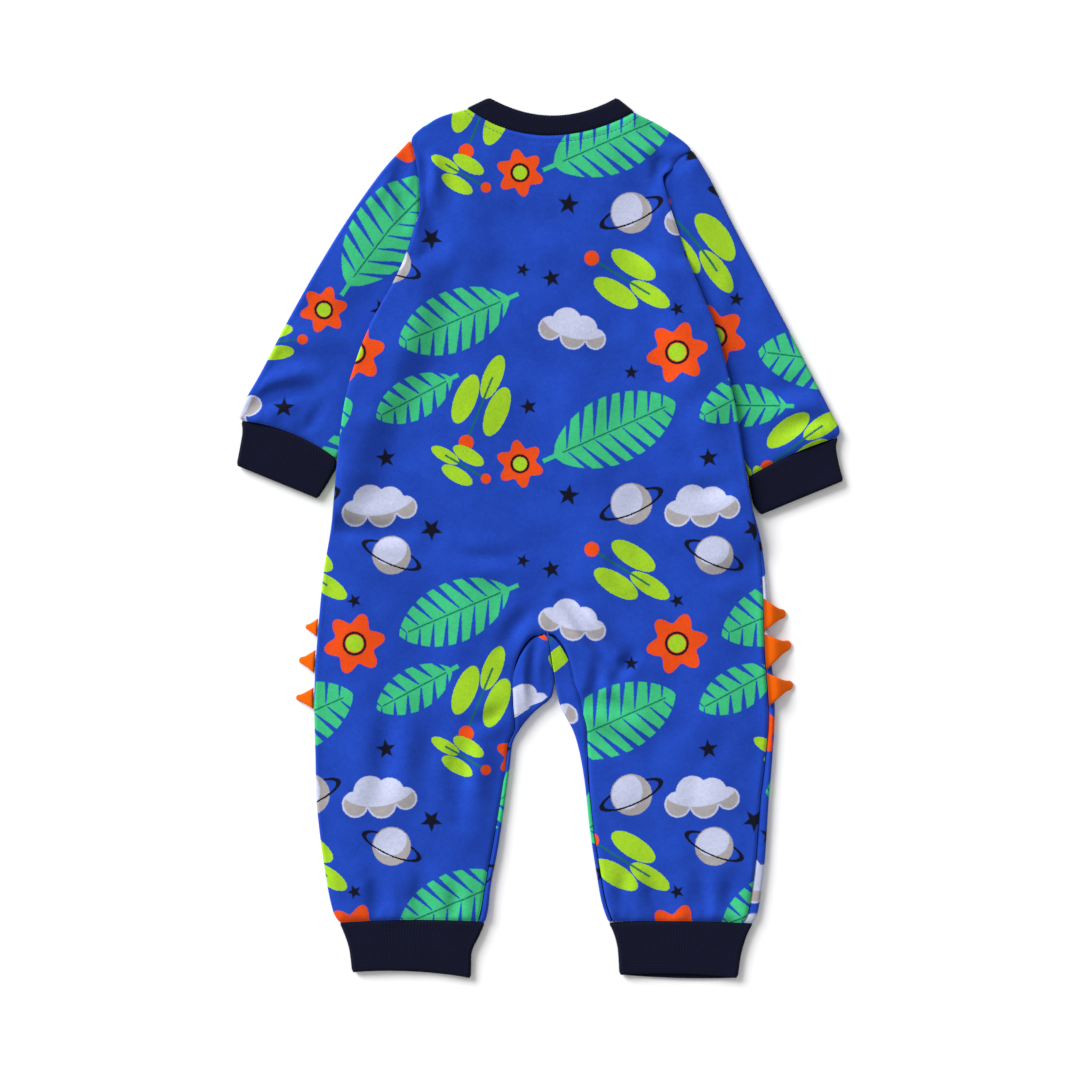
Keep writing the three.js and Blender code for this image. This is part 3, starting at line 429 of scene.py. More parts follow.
def sleeve_footprint(side):
    """A sleeve and its cuff seen from above."""
    cuff = np.array(cuff_sections[f"wrist_{side}"])
    last = len(sleeves[side]["table"]) - 1
    outer_column, inner_column = (0, 2) if side == "left" else (2, 0)
    return np.concatenate([
        on_sleeve(side, np.linspace(0, last, 17), 0.0),
        cuff[:, outer_column:outer_column + 2],
        cuff[::-1, inner_column:inner_column + 2],
        on_sleeve(side, np.linspace(last, 0, 17), 1.0),
        on_sleeve(side, 0.0, np.linspace(1, 0, 9)),
    ])


footprints = {side: sleeve_footprint(side) for side in sleeves}


def lift_at(points, layer):
    """How far the body is lifted by the sleeves under its sides."""
    lifts = []
    for side in sleeves:
        nearest, _ = nearest_on_line(points, footprints[side], True)
        into = np.where(is_inside(points, footprints[side]), nearest, -nearest)
        climb = climbs[side]
        over = ease(-points[..., 1], -climb["front"][0], -climb["front"][1])
        front = sleeve_lift * over * ease(into, -lift_reach, -lift_full)
        over_fold = ease(-points[..., 1], -climb["back"][0], -climb["back"][1])
        back = np.maximum(front, fold_rise * over_fold * ease(into, -fold_reach, -1))
        lifts.append(front if layer == "front" else back)
    return np.where(points[..., 0] < centre_x, lifts[0], lifts[1])


def curve_through(points):
    """Points on a smooth curve through three plan points."""
    a, b, c = (np.array(p, float) for p in points)
    bend = 2 * b - (a + c) / 2
    t = np.linspace(0, 1, 9)[:, None]
    return (1 - t) ** 2 * a + 2 * t * (1 - t) * bend + t * t * c


def crease_at(points):
    """The height that the creases add: each a trough or ridge with a lower ridge or trough beside it."""
    height = np.zeros(points.shape[:-1])
    for x0, y0, x1, y1, x2, y2, depth, half_width in creases:
        line = curve_through([(x0, y0), (x1, y1), (x2, y2)])
        middle = line.mean(0)
        near = length_of(points - middle) < length_of(line - middle).max() + 4 * half_width
        if not near.any():
            continue
        away, fraction = nearest_on_line(points[near], line)
        swell = 0.25 + 0.75 * np.sin(math.pi * clamp(fraction, 0.04, 0.96))
        beside = away / half_width - 2.1
        height[near] += depth * swell * (np.exp(-((away / half_width) ** 2)) - 0.3 * np.exp(-(beside**2)))
    return height


chance = np.random.default_rng(7)
full_turn = 2 * math.pi
# Long waves across the cloth, each with its direction, length and start.
waves = [
    (chance.uniform(0, full_turn), chance.uniform(26, 90), chance.uniform(0, full_turn))
    for _ in range(16)
]


def unevenness(points):
    """A gentle unevenness that all loose cloth has, about 1 at its highest."""
    height = np.zeros(points.shape[:-1])
    for angle, size, phase in waves:
        way = points[..., 0] * math.cos(angle) + points[..., 1] * math.sin(angle)
        height += size * np.sin(full_turn / size * way + phase)
    return height / 300


def seam_line(side, section):
    """Plan points along one section of the back, from the inside to the outer edge."""
    line = body_line(side, "back", [section])
    return on_line(line, np.linspace(0, line.length[0], 20)[None])[0]


def wrist_line(side):
    """Plan points along a sleeve's seam with its cuff."""
    return on_sleeve(side, len(sleeves[side]["table"]) - 1.0, np.linspace(0, 1, 20))


ankle_lines = [seam_line(side, ankle) for side in sleeves]
wrist_lines = {side: wrist_line(side) for side in sleeves}
neck_line = np.concatenate([seam_line("left", 0)[::-1], seam_line("right", 0)])


def gathers(points, line, fullness, reach, pitch):
    """Cloth that is eased into a shorter band: a roll beside the seam, with puckers across it."""
    away, fraction = nearest_on_line(points, line)
    at = fraction * length_of(np.diff(line, axis=0)).sum()
    strength = 0.6 + 0.4 * np.sin(at / 9.1 + 1)
    pucker = np.sin(full_turn * at / pitch + 1.7 * np.sin(at / 13.0)) * strength
    roll = np.exp(-(((away - reach * 0.45) / (reach * 0.5)) ** 2))
    return fullness * (0.8 * roll + 0.5 * pucker * np.exp(-away / reach) * ease(away, 0, 2.5))


crease_depth = 2.6  # scales all the creases
loose = 1.2  # height of the unevenness
stitch_depth = 0.35  # how far the stitches draw the cloth in


def body_details(points):
    """The small heights of the body: creases, unevenness, gathers at the bands, and a row of stitches."""
    height = crease_depth * crease_at(points) + loose * unevenness(points)
    for line in ankle_lines:
        height += gathers(points, line, fullness=1.1, reach=13, pitch=11.5)
    height += gathers(points, neck_line, fullness=0.25, reach=9, pitch=13)
    away, _ = nearest_on_line(points, neck_stitches)
    return height - stitch_depth * np.exp(-((away / 1.3) ** 2))


two_layers = 2 * wall + 0.1


def settled(height):
    """The height of an upper layer, whose deepest creases rest on the layer under it."""
    above = height - two_layers
    return two_layers + (above + np.sqrt(above**2 + 0.5)) / 2


def body_top(points, layer):
    """The height of a body layer's upper surface."""
    away, _ = nearest_on_line(points, body_edge, True)
    details = body_details(points)
    loft = body_loft * ease(away, 0, loft_reach) + details * ease(away, 0, 6)
    return lift_at(points, layer) + settled(edge_height + loft)


def body_bottom(points, layer):
    """The height of a body layer's lower surface."""
    return lift_at(points, layer)


def on_fold(turn, reach, top, bottom):
    """Places on a folded edge: (inset, z) of the outer and of the inner surface, and where it is flat.
    `turn` is the distance round the fold: positive over the top, negative under the bottom."""
    radius = (top - bottom) / 2
    quarter = radius * math.pi / 2
    angle = clamp(turn / radius, -math.pi / 2, math.pi / 2)
    beyond = np.maximum(0, np.abs(turn) - quarter)
    middle = (top + bottom) / 2
    inner_reach = reach * 0.2
    outer = (reach * (1 - np.cos(angle)) + beyond, middle + radius * np.sin(angle))
    inset = wall + inner_reach * (1 - np.cos(angle)) + beyond
    inset = inset + (reach - inner_reach - wall) * ease(beyond, 0, 2)
    inner = (inset, middle + (radius - wall) * np.sin(angle))
    return outer, inner, beyond > 0


def turn_at(inset, reach, radius):
    """The distance round a fold at which its surface is `inset` inside the edge, seen from above."""
    inset, reach = np.broadcast_arrays(np.asarray(inset, float), np.asarray(reach, float))
    bent = radius * np.arccos(clamp(1 - inset / reach, -1, 1))
    flat = radius * math.pi / 2 + inset - reach
    return np.where(inset < 0, inset, np.where(inset < reach, bent, flat))


def seam_shift(side, section):
    """How far a piece stops short of a seam along its section, so that the seam's gap is seam_gap."""
    before = body_line(side, "back", np.maximum(crotch, section - 0.1)).seam
    after = body_line(side, "back", np.minimum(ankle, section + 0.1)).seam
    here = body_line(side, "back", section)
    run, across = after - before, here.edge - here.fold
    crossed = np.abs(run[:, 0] * across[:, 1] - run[:, 1] * across[:, 0])
    sine = crossed / (length_of(run) * length_of(across) + 1e-9)
    return seam_gap / 2 / np.maximum(sine, 0.35)


def side_seam(side, section):
    """How far inside the outer edge the side seam lies."""
    rows = np.array(side_seams[side], float)
    return np.interp(section, rows[:, 0], rows[:, 1])


def folded_at(section, layer):
    """1 where the outer edge is a fold, and 0 where it is cut for the armhole."""
    armhole_start, armhole_end = 2, 7.2 if layer == "back" else 7.4
    above = 1 - ease(section, armhole_start, armhole_start + 0.5)
    return np.maximum(above, ease(section, armhole_end, armhole_end + 0.6))


def join(parts):
    """Grids set beside each other."""
    return np.concatenate(parts, axis=1)


Strip = namedtuple("Strip", "outer inner cut")  # rows of points, and where they lie on the flat cloth


def outer_fold(layer, section, line, turn):
    """The outer edge's fold, at distances `turn` round it."""
    junction = on_line(line, (line.length - edge_height / 2)[:, None])
    top, bottom = body_top(junction, layer), body_bottom(junction, layer)
    outer, inner, flat = on_fold(turn, (top - bottom) / 2, top, bottom)
    folded = folded_at(section, layer)[:, None]
    surfaces = []
    for (inset, z), depth in ((outer, 0), (inner, wall)):
        inset = mix(np.abs(turn) + seam_gap / 2, inset, folded)
        point = on_line(line, line.length[:, None] - inset)
        over = body_top(point, layer) - depth
        under = body_bottom(point, layer) + depth
        flat_z = over if layer == "back" else np.where(turn > 0, over, under)
        z = np.where(flat, flat_z, mix(flat_z, z, folded))
        surfaces.append(np.dstack([point, z]))
    bend = (math.pi / 2 - 1) * (top - bottom) / 2
    way = turn - bend if layer == "back" else -turn - bend
    return Strip(*surfaces, on_line(line, line.length[:, None] - mix(np.abs(turn), way, folded)))


def inner_fold(line, turn, reach, shift):
    """The inner fold of a leg or of the crotch, at distances `turn` round it."""
    junction = on_line(line, reach)
    top, bottom = body_top(junction, "front"), body_bottom(junction, "front")
    outer, inner, flat = on_fold(turn, reach, top, bottom)
    surfaces = []
    for (inset, z), depth in ((outer, 0), (inner, wall)):
        point = on_line(line, inset + shift)
        flat_z = np.where(turn > 0, body_top(point, "front") - depth, body_bottom(point, "front") + depth)
        surfaces.append(np.dstack([point, np.where(flat, flat_z, z)]))
    return Strip(*surfaces, on_line(line, -turn - (math.pi / 2 - 1) * reach))


def centre_shift(section):
    """Half the opening between the two fronts along the zip."""
    return seam_gap / 2 + (zip_half + seam_gap / 2) * (1 - ease(section, 13.2, 14.2))


def close_ends(count, first, last, spacing):
    """Fractions from 0 to 1, close together at an end that is a seam. first and last: is it a seam?"""
    near = np.array([0, 0.25, 0.55, 0.95, 1.5, 2.2, 3.2]) / spacing
    middle = np.linspace(near[-1] if first else 0, count - (near[-1] if last else 0), count + 1)
    values = ([near[:-1]] if first else []) + [middle] + ([count - near[:-1][::-1]] if last else [])
    return np.concatenate(values) / count


def body_rows(spacing):
    """Section numbers about `spacing` apart on the cloth, closer at the neck and ankle seams."""
    fine = np.linspace(0, ankle, ankle * 60 + 1)
    lines = [body_line(side, "back", fine) for side in sleeves]
    tracks = [line.edge for line in lines] + [line.seam for line in lines]
    step = np.max([length_of(np.diff(track, axis=0)) for track in tracks], axis=0)
    reached = np.concatenate([[0], np.cumsum(step)])
    count = int(reached[-1] / spacing)
    at = close_ends(count, first=True, last=True, spacing=spacing) * reached[-1]
    rows = np.interp(at, reached, fine)
    for fixed in (crotch, wrap_start):
        rows[np.abs(rows - fixed).argmin()] = fixed
    return rows


edge_width = 7.0
edge_steps = [0, 0.25, 0.55, 0.95, 1.5, 2.2, 3.0, 3.9, 4.9, 5.9, edge_width]
seam_ridge = 0.8  # the back lies a little over the front beside the right side seam


def back_half(side, section):
    """The back's rows on one side, from the side seam to the inner seam."""
    line = body_line(side, "back", section)
    radius = edge_height / 2
    folded = folded_at(section, "back")
    start = mix(0, turn_at(side_seam(side, section), radius, radius) + seam_gap / 2, folded)[:, None]
    steps = np.array(edge_steps)
    edge = outer_fold("back", section, line, start + steps)
    rounded = radius * math.pi / 2
    inset = mix(start[:, 0] + edge_width, start[:, 0] + edge_width - rounded + radius, folded)
    begin = line.length - inset
    middle = line.inner + 0.8
    end = mix(middle, line.inner + seam_shift(side, section), ease(section, crotch, crotch + 0.12))
    end = np.where(section <= crotch, middle, end)
    t = close_ends(56, first=False, last=True, spacing=2.5)[1:]
    s = mix(begin[:, None], end[:, None], t)
    point = on_line(line, s)
    top = body_top(point, "back")
    flat = Strip(np.dstack([point, top]), np.dstack([point, top - wall]), point)
    over_edge = np.broadcast_to(steps, (len(section), len(steps)))
    from_seam = np.concatenate([over_edge, inset[:, None] + begin[:, None] - s], 1)
    height = seam_ridge * ease(section, 12.5, 14) if side == "right" else 0 * section
    ridge = height[:, None] * (1 - ease(from_seam, 0, 9))
    whole = Strip(*(join(parts) for parts in zip(edge, flat)))
    for surface in (whole.outer, whole.inner):
        surface[..., 2] += ridge
    return whole


def front_half(side, section):
    """The front's rows, from the side seam under the edge and round to the crotch seam."""
    line = body_line(side, "front", section)
    radius = edge_height / 2
    folded = folded_at(section, "front")
    seam = turn_at(side_seam(side, section), radius, radius) - seam_gap / 2
    under = radius * math.pi / 2 + 1
    begin = mix(0, seam, folded)[:, None]
    t = close_ends(14, first=True, last=False, spacing=1.0)
    edge = outer_fold("front", section, line, mix(begin, -under, t))
    start = line.length - mix(under, radius + 1, folded)
    wraps = section >= wrap_start
    opens = ease(section, crotch + 1.2, crotch + 2.6)  # above this the two folds meet as one cloth
    reach = mix(mix(0.06, 0.8, opens), radius, ease(section, 19, 21))
    shift = seam_gap / 2 * mix(0.1, 1, opens)
    end = np.where(wraps, reach + 1 + shift, centre_shift(section))
    point = on_line(line, mix(start[:, None], end[:, None], np.linspace(0, 1, 31)[1:]))
    bottom = body_bottom(point, "front")
    flat = Strip(np.dstack([point, bottom]), np.dstack([point, bottom + wall]), point)
    last = np.where(wraps, turn_at(line.inner, reach, radius) - seam_shift(side, section) - shift, 0)
    t = close_ends(22, first=False, last=True, spacing=1.2)[1:]
    turns = mix(-(radius * math.pi) / 2 - 1, last[:, None], t)
    wrap = inner_fold(line, turns, reach[:, None], shift[:, None])
    columns = edge.outer.shape[1] + flat.outer.shape[1]
    return Strip(*(join(parts) for parts in zip(edge, flat, wrap))), columns - 1


rim_reach = 1.3  # how far from a seam its soft valley reaches


def neighbours(cells, closed):
    """The cells with one more all round: none past an open edge, the other end's where it is closed."""
    beside = np.pad(cells, 1)
    if closed:
        beside[1:-1, 0], beside[1:-1, -1] = cells[:, -1], cells[:, 0]
    return beside


def rim_points(grid, cells, closed):
    """Points half a millimetre apart along the open edges of a grid."""
    rims = []
    rows, columns = cells.shape
    width = grid.shape[1]
    beside = neighbours(cells, closed)
    corners = {
        (-1, 0): ((0, 0), (0, 1)),
        (1, 0): ((1, 0), (1, 1)),
        (0, -1): ((0, 0), (1, 0)),
        (0, 1): ((0, 1), (1, 1)),
    }
    for (down, right), (first, second) in corners.items():
        other = beside[1 + down:1 + down + rows, 1 + right:1 + right + columns]
        i, j = np.nonzero(cells & ~other)
        a = grid[i + first[0], (j + first[1]) % width]
        b = grid[i + second[0], (j + second[1]) % width]
        for t in np.linspace(0, 1, 6):
            rims.append(mix(a, b, t))
    return np.concatenate(rims)


def round_rims(outer, inner, cells, closed, depth):
    """Thins a wall of cloth towards its open edges, so that each seam is a soft valley."""
    rims = rim_points(outer, cells, closed)
    tree = kdtree.KDTree(len(rims))
    for i, point in enumerate(rims):
        tree.insert(point, i)
    tree.balance()
    flat = outer.reshape(-1, 3)
    away = np.array([tree.find(point)[2] for point in flat]).reshape(outer.shape[:-1])
    return mix(outer, inner, (depth * np.exp(-((away / rim_reach) ** 2)))[..., None])


def wall_mesh(name, strip, cells=None, closed=False, ribs=None, rounding=0.42):
    """An object of two surfaces with rims between them at each open edge."""
    outer, inner, cut = strip
    rows, columns = outer.shape[:2]
    if cells is None:
        cells = np.ones((rows - 1, columns if closed else columns - 1), bool)
    if rounding:
        outer = round_rims(outer, inner, cells, closed, rounding)
    points = np.concatenate([outer.reshape(-1, 3), inner.reshape(-1, 3)])
    beside = neighbours(cells, closed)
    i, j = np.nonzero(cells)

    def corner(down, right, is_inner):
        return (i + down) * columns + (j + right) % columns + (rows * columns if is_inner else 0)

    def spot(down, right):
        return (i + down) * cut.shape[1] + j + right

    ring = [(0, 0), (0, 1), (1, 1), (1, 0)]
    back_ring = ring[::-1]
    faces = [
        np.stack([corner(*place, False) for place in ring], 1),
        np.stack([corner(*place, True) for place in back_ring], 1),
    ]
    spots = [np.stack([spot(*place) for place in way], 1) for way in (ring, back_ring)]
    sides = (
        ((-1, 0), (0, 1), (0, 0)),
        ((0, 1), (1, 1), (0, 1)),
        ((1, 0), (1, 0), (1, 1)),
        ((0, -1), (0, 0), (1, 0)),
    )
    for (down, right), first, second in sides:
        open_here = ~beside[i + 1 + down, j + 1 + right]
        quad = [corner(*first, False), corner(*second, False), corner(*second, True), corner(*first, True)]
        places = [spot(*first), spot(*second), spot(*second), spot(*first)]
        faces.append(np.stack(quad, 1)[open_here])
        spots.append(np.stack(places, 1)[open_here])
    faces, spots = np.concatenate(faces), np.concatenate(spots)
    used, places = np.unique(faces, return_inverse=True)
    faces = places.reshape(faces.shape)
    points = points[used]
    a, b, c, d = (points[faces[:, k]] for k in range(4))
    volume = (np.cross(b - a, c - a) * a).sum() + (np.cross(c - a, d - a) * a).sum()
    if volume < 0:
        faces, spots = faces[:, ::-1], spots[:, ::-1]
    mesh = bpy.data.meshes.new(name)
    mesh.from_pydata((points / 1000).tolist(), [], faces.tolist())
    mesh.polygons.foreach_set("use_smooth", np.ones(len(faces), bool))
    layer = mesh.uv_layers.new(name="cut")
    layer.data.foreach_set("uv", (cut.reshape(-1, 2)[spots.reshape(-1)] / 1000).ravel())
    inside = mesh.attributes.new("inside", "FLOAT", "POINT")
    inside.data.foreach_set("value", (used >= rows * columns).astype(np.float32))
    if ribs is not None:
        numbers = np.broadcast_to(ribs, (rows, columns)).ravel()
        ribbing = mesh.attributes.new("rib", "FLOAT", "POINT")
        ribbing.data.foreach_set("value", np.concatenate([numbers, numbers])[used].astype(np.float32))
    mesh.validate()
    mesh.update()
    piece = bpy.data.objects.new(name, mesh)
    bpy.context.collection.objects.link(piece)
    return piece


def turned(cut, angle, shift):
    """The cloth's own coordinates, turned and moved as the piece lay on the printed cloth."""
    c, s = math.cos(math.radians(angle)), math.sin(math.radians(angle))
    x, y = cut[..., 0], cut[..., 1]
    return spread([x * c - y * s + shift[0], x * s + y * c + shift[1]])


def back_cloth():
    """The back with the backs of both legs, one piece that is open between the legs."""
    section = body_rows(2.6)
    halves = [back_half(side, section) for side in ("left", "right")]
    strip = Strip(*(np.concatenate([a, b[:, ::-1]], axis=1) for a, b in zip(*halves)))
    cells = np.ones((len(section) - 1, strip.outer.shape[1] - 1), bool)
    middle = halves[0].outer.shape[1] - 1
    cells[section[:-1] >= crotch, middle] = False
    return wall_mesh("cloth_back", strip, cells)


def front_cloth(side):
    """One front, with the front of its leg turned up as far as the crotch seam."""
    section = body_rows(4.2)
    strip, wrap = front_half(side, section)
    strip = strip._replace(cut=turned(strip.cut * [-1, 1], 0, (52, 61)))
    cells = np.ones((len(section) - 1, strip.outer.shape[1] - 1), bool)
    cells[section[:-1] < wrap_start, wrap:] = False
    return wall_mesh(f"cloth_front_{side}", strip, cells)


first_t = 0.045  # where a tube's flat walls begin beside its folds
fold_steps = 8


def tube_fold(top_at, bottom_at, edge_t, top):
    """A flattened tube's fold, at the edge where t is 0 or 1, from the top wall to the bottom wall."""
    edge = top_at(np.array([float(edge_t)]))
    radius = top / 2
    turns = np.linspace(1, -1, 2 * fold_steps + 1)[None] * radius * math.pi / 2 * 0.98
    inside = [at(np.array([mix(float(edge_t), 0.5, 0.08)])) for at in (top_at, bottom_at)]
    inside = np.where((turns >= 0)[..., None], inside[0], inside[1])
    run = length_of(inside - edge)
    outer, inner, _ = on_fold(turns, top / 2, top, 0 * top)
    surfaces = []
    for inset, z in (outer, inner):
        point = mix(edge, inside, (inset / run)[..., None])
        surfaces.append(np.dstack([point, np.broadcast_to(z, point.shape[:-1])]))
    return surfaces


def tube_wall(at, t, height_at):
    """One wall of a flattened tube, outer and inner: on the surface where it has no height."""
    point = at(t)
    if height_at is None:
        zero = np.zeros(point.shape[:-1])
        return [np.dstack([point, zero]), np.dstack([point, zero + wall])]
    top = height_at(point)
    return [np.dstack([point, top]), np.dstack([point, top - wall])]


def tube_rings(top_at, bottom_at, height_at, columns):
    """Rings round a flattened tube: `top_at` and `bottom_at` give plan points for each ring's fractions."""
    t = np.linspace(first_t, 1 - first_t, columns + 1)
    heights = [height_at(top_at(np.array([mix(e, 0.5, 2 * first_t)]))) for e in (0.0, 1.0)]
    parts = [
        tube_wall(top_at, t, height_at),
        tube_fold(top_at, bottom_at, 1, heights[1]),
        tube_wall(bottom_at, t[::-1], None),
        [surface[:, ::-1] for surface in tube_fold(top_at, bottom_at, 0, heights[0])],
    ]
    return [join(surfaces) for surfaces in zip(*parts)]


def round_about(outer):
    """The distance round each ring, with the first point again at the end."""
    closed = np.concatenate([outer, outer[:, :1]], 1)
    step = length_of(np.diff(closed, axis=1))
    return np.concatenate([np.zeros((len(outer), 1)), np.cumsum(step, 1)], 1)


def sleeve_top(side):
    """Gives the function for the height of a sleeve's upper wall."""
    def height(point):
        away, _ = nearest_on_line(point, footprints[side], True)
        under_body, _ = nearest_on_line(point, on_sleeve(side, np.linspace(0, 8, 13), 1.0))
        loft = sleeve_loft * ease(away, 0, 26) * ease(under_body, 24, 50)
        details = crease_depth * crease_at(point) + loose * unevenness(point)
        details += gathers(point, wrist_lines[side], fullness=1.0, reach=11, pitch=10.5)
        return settled(edge_height + loft + details * ease(away, 1, 7) * ease(under_body, 14, 30))
    return height


# How each sleeve lay on the printed cloth: turned by degrees, and moved.
sleeve_prints = {"left": (-32, (30, 40)), "right": (30, (60, 150))}


def sleeve_cloth(side):
    """A sleeve: a flattened tube, printed as one cloth that is cut along the underarm."""
    last = len(sleeves[side]["table"]) - 1
    start, end = -0.04, last - 0.05  # tucked into the armhole seam, and short of the cuff's
    rows = mix(start, end, close_ends(84, first=True, last=True, spacing=2.7))
    fine = np.linspace(start, end, 400)
    reached = distances(on_sleeve(side, fine, 0.35))
    rows = np.interp((rows - rows[0]) / (rows[-1] - rows[0]) * reached[-1], reached, fine)

    def at(t):
        return on_sleeve(side, rows[:, None], t[None])

    columns = 44
    underarm = columns + 1 + fold_steps
    rings = tube_rings(at, at, sleeve_top(side), columns)
    outer, inner = (np.roll(ring, -underarm, axis=1) for ring in rings)
    round_ring = round_about(outer)
    shoulder = columns + 1 + 2 * fold_steps + 1
    edge, underarm_edge = on_sleeve(side, rows, 0.0), on_sleeve(side, rows, 1.0)
    inwards = (underarm_edge - edge) / length_of(underarm_edge - edge)[:, None]
    bend = (math.pi / 2 - 1) * edge_height / 2
    from_shoulder = round_ring - round_ring[:, shoulder:shoulder + 1] - bend
    run = (edge[-1] - edge[0]) / length_of(edge[-1] - edge[0])
    mirrored = 2 * (inwards @ run)[:, None] * run - inwards
    way = np.where(from_shoulder[..., None] >= 0, inwards[:, None], -mirrored[:, None])
    cut = edge[:, None] + way * from_shoulder[..., None]
    angle, shift = sleeve_prints[side]
    return wall_mesh(f"cloth_sleeve_{side}", Strip(outer, inner, turned(cut, angle, shift)), closed=True)


def bowed(left, right, bow):
    """Lines from one edge to the other, bowed across their middles, with a row for each."""
    run = right - left
    size = length_of(run)[:, None]

    def at(t):
        point = mix(left[:, None], right[:, None], t[None, :, None])
        off = bow[:, None] * 4 * t * (1 - t) / size
        return spread([point[..., 0] - off * run[:, None, 1], point[..., 1] + off * run[:, None, 0]])
    return at


rib_pitch = 2.0
samples_per_rib = 6
cuff_length = 36.0  # from the seam to the hem, on the knit
band_height = 14.0
quarter_band = 55.0


def cuff_band(name):
    """A band of rib knit: a tube, drawn in a little at the seam and full at its folded hem."""
    table = cuff_sections[name]
    section = close_ends(16, first=True, last=True, spacing=2.4) * (len(table) - 1)
    section[0] = -0.07  # tucked into the seam
    left = spread([along(table, 0, section), along(table, 1, section)])
    right = spread([along(table, 2, section), along(table, 3, section)])
    across = length_of(right - left).mean()
    columns = int(across / rib_pitch * samples_per_rib)
    top_at = bowed(left, right, along(table, 4, section))
    bottom_at = bowed(left, right, along(table, 5, section))

    def height_at(point):
        return edge_height + 0.35 * unevenness(point * 1.6) * np.ones(point.shape[:-1])

    outer, inner = tube_rings(top_at, bottom_at, height_at, columns)
    around = round_about(outer)
    share = around[len(around) // 2]
    count = round(share[-1] / rib_pitch)
    ribs = share[:-1] / share[-1] * count
    down = section / (len(table) - 1) * cuff_length
    cut = spread([share[None] + 0 * around, -down[:, None] + 0 * around])
    return wall_mesh(f"rib_{name}", Strip(outer, inner, cut), closed=True, ribs=ribs)


def neck_seam(layer, t):
    """The neck seam in plan, from the left fold (t = 0) to the right fold (t = 1)."""
    points = []
    for value in t:
        line = body_line("left" if value < 0.5 else "right", layer, [0.0])
        s = line.length * abs(1 - 2 * value)
        point = on_line(line, s[None])[0, 0]
        nearer = on_line(line, s[None] * 0.98 + 0.01)[0, 0]
        across = length_of(point - nearer)
        upwards = np.sign(point[0] - nearer[0]) * seam_gap * 1.3
        points.append([point[0] - upwards * (point[1] - nearer[1]) / across,
                       point[1] + upwards * (point[0] - nearer[0]) / across])
    return np.array(points)


def neck_band():
    """One strip of rib knit: from the zip round the left fold, over the back, and on to the zip again."""
    v = close_ends(7, first=True, last=True, spacing=2.0)
    v[0] = -0.05  # tucked into the seam
    left, right = (np.array([neckband_top[side]], float) for side in ("left", "right"))

    def edge_to_edge(layer):
        top = bowed(left, right, np.array([neckband_top[layer]]))
        return lambda t: mix(neck_seam(layer, t)[None], top(t), v[:, None, None])

    back, front = edge_to_edge("back"), edge_to_edge("front")
    fine = np.linspace(0.3, 0.7, 201)
    across = front(fine)[len(v) // 2, :, 0]
    clear = zip_half + seam_gap
    stops = [np.interp(centre_x - clear, across, fine), np.interp(centre_x + clear, across, fine)]
    rib_columns = int(quarter_band / rib_pitch * samples_per_rib)

    def height(point):
        return edge_height + 0.15 * unevenness(point * 2)

    top = np.full((len(v), 1), edge_height)
    parts = [
        tube_wall(front, np.linspace(stops[0], first_t, rib_columns), None),
        [surface[:, ::-1] for surface in tube_fold(back, front, 0, top)],
        tube_wall(back, np.linspace(first_t, 1 - first_t, 2 * rib_columns), height),
        tube_fold(back, front, 1, top),
        tube_wall(front, np.linspace(1 - first_t, stops[1], rib_columns), None),
    ]
    outer, inner = (join(surfaces) for surfaces in zip(*parts))
    middle = outer[len(v) // 2]
    reached = distances(middle)
    cut = spread([reached[None] + 0 * outer[..., 0], band_height * v[:, None] + 0 * outer[..., 0]])
    return wall_mesh("rib_neck", Strip(outer, inner, cut), ribs=reached / rib_pitch)


def section_at_height(side, y):
    """The section number at which the outer edge of the body passes a height."""
    fine = np.linspace(8, ankle, 2101)
    heights = body_line(side, "back", fine).edge[:, 1]
    return float(np.interp(-y, -heights, fine))


tip_start = 0.82  # where a spike's round tip begins, along it
tip_width = 0.29  # as a share of its base
tip_blend = 4  # how sharply the flanks turn into the tip
flank_power = 1.02  # above 1 the flanks are hollow
spike_columns = [0, 0.035, 0.09, 0.17, 0.27, 0.38, 0.5, 0.62, 0.73, 0.83, 0.91, 0.965, 1]
spike_tip_rows = [0.86, 0.9, 0.93, 0.955, 0.975, 0.988, 0.996, 1]


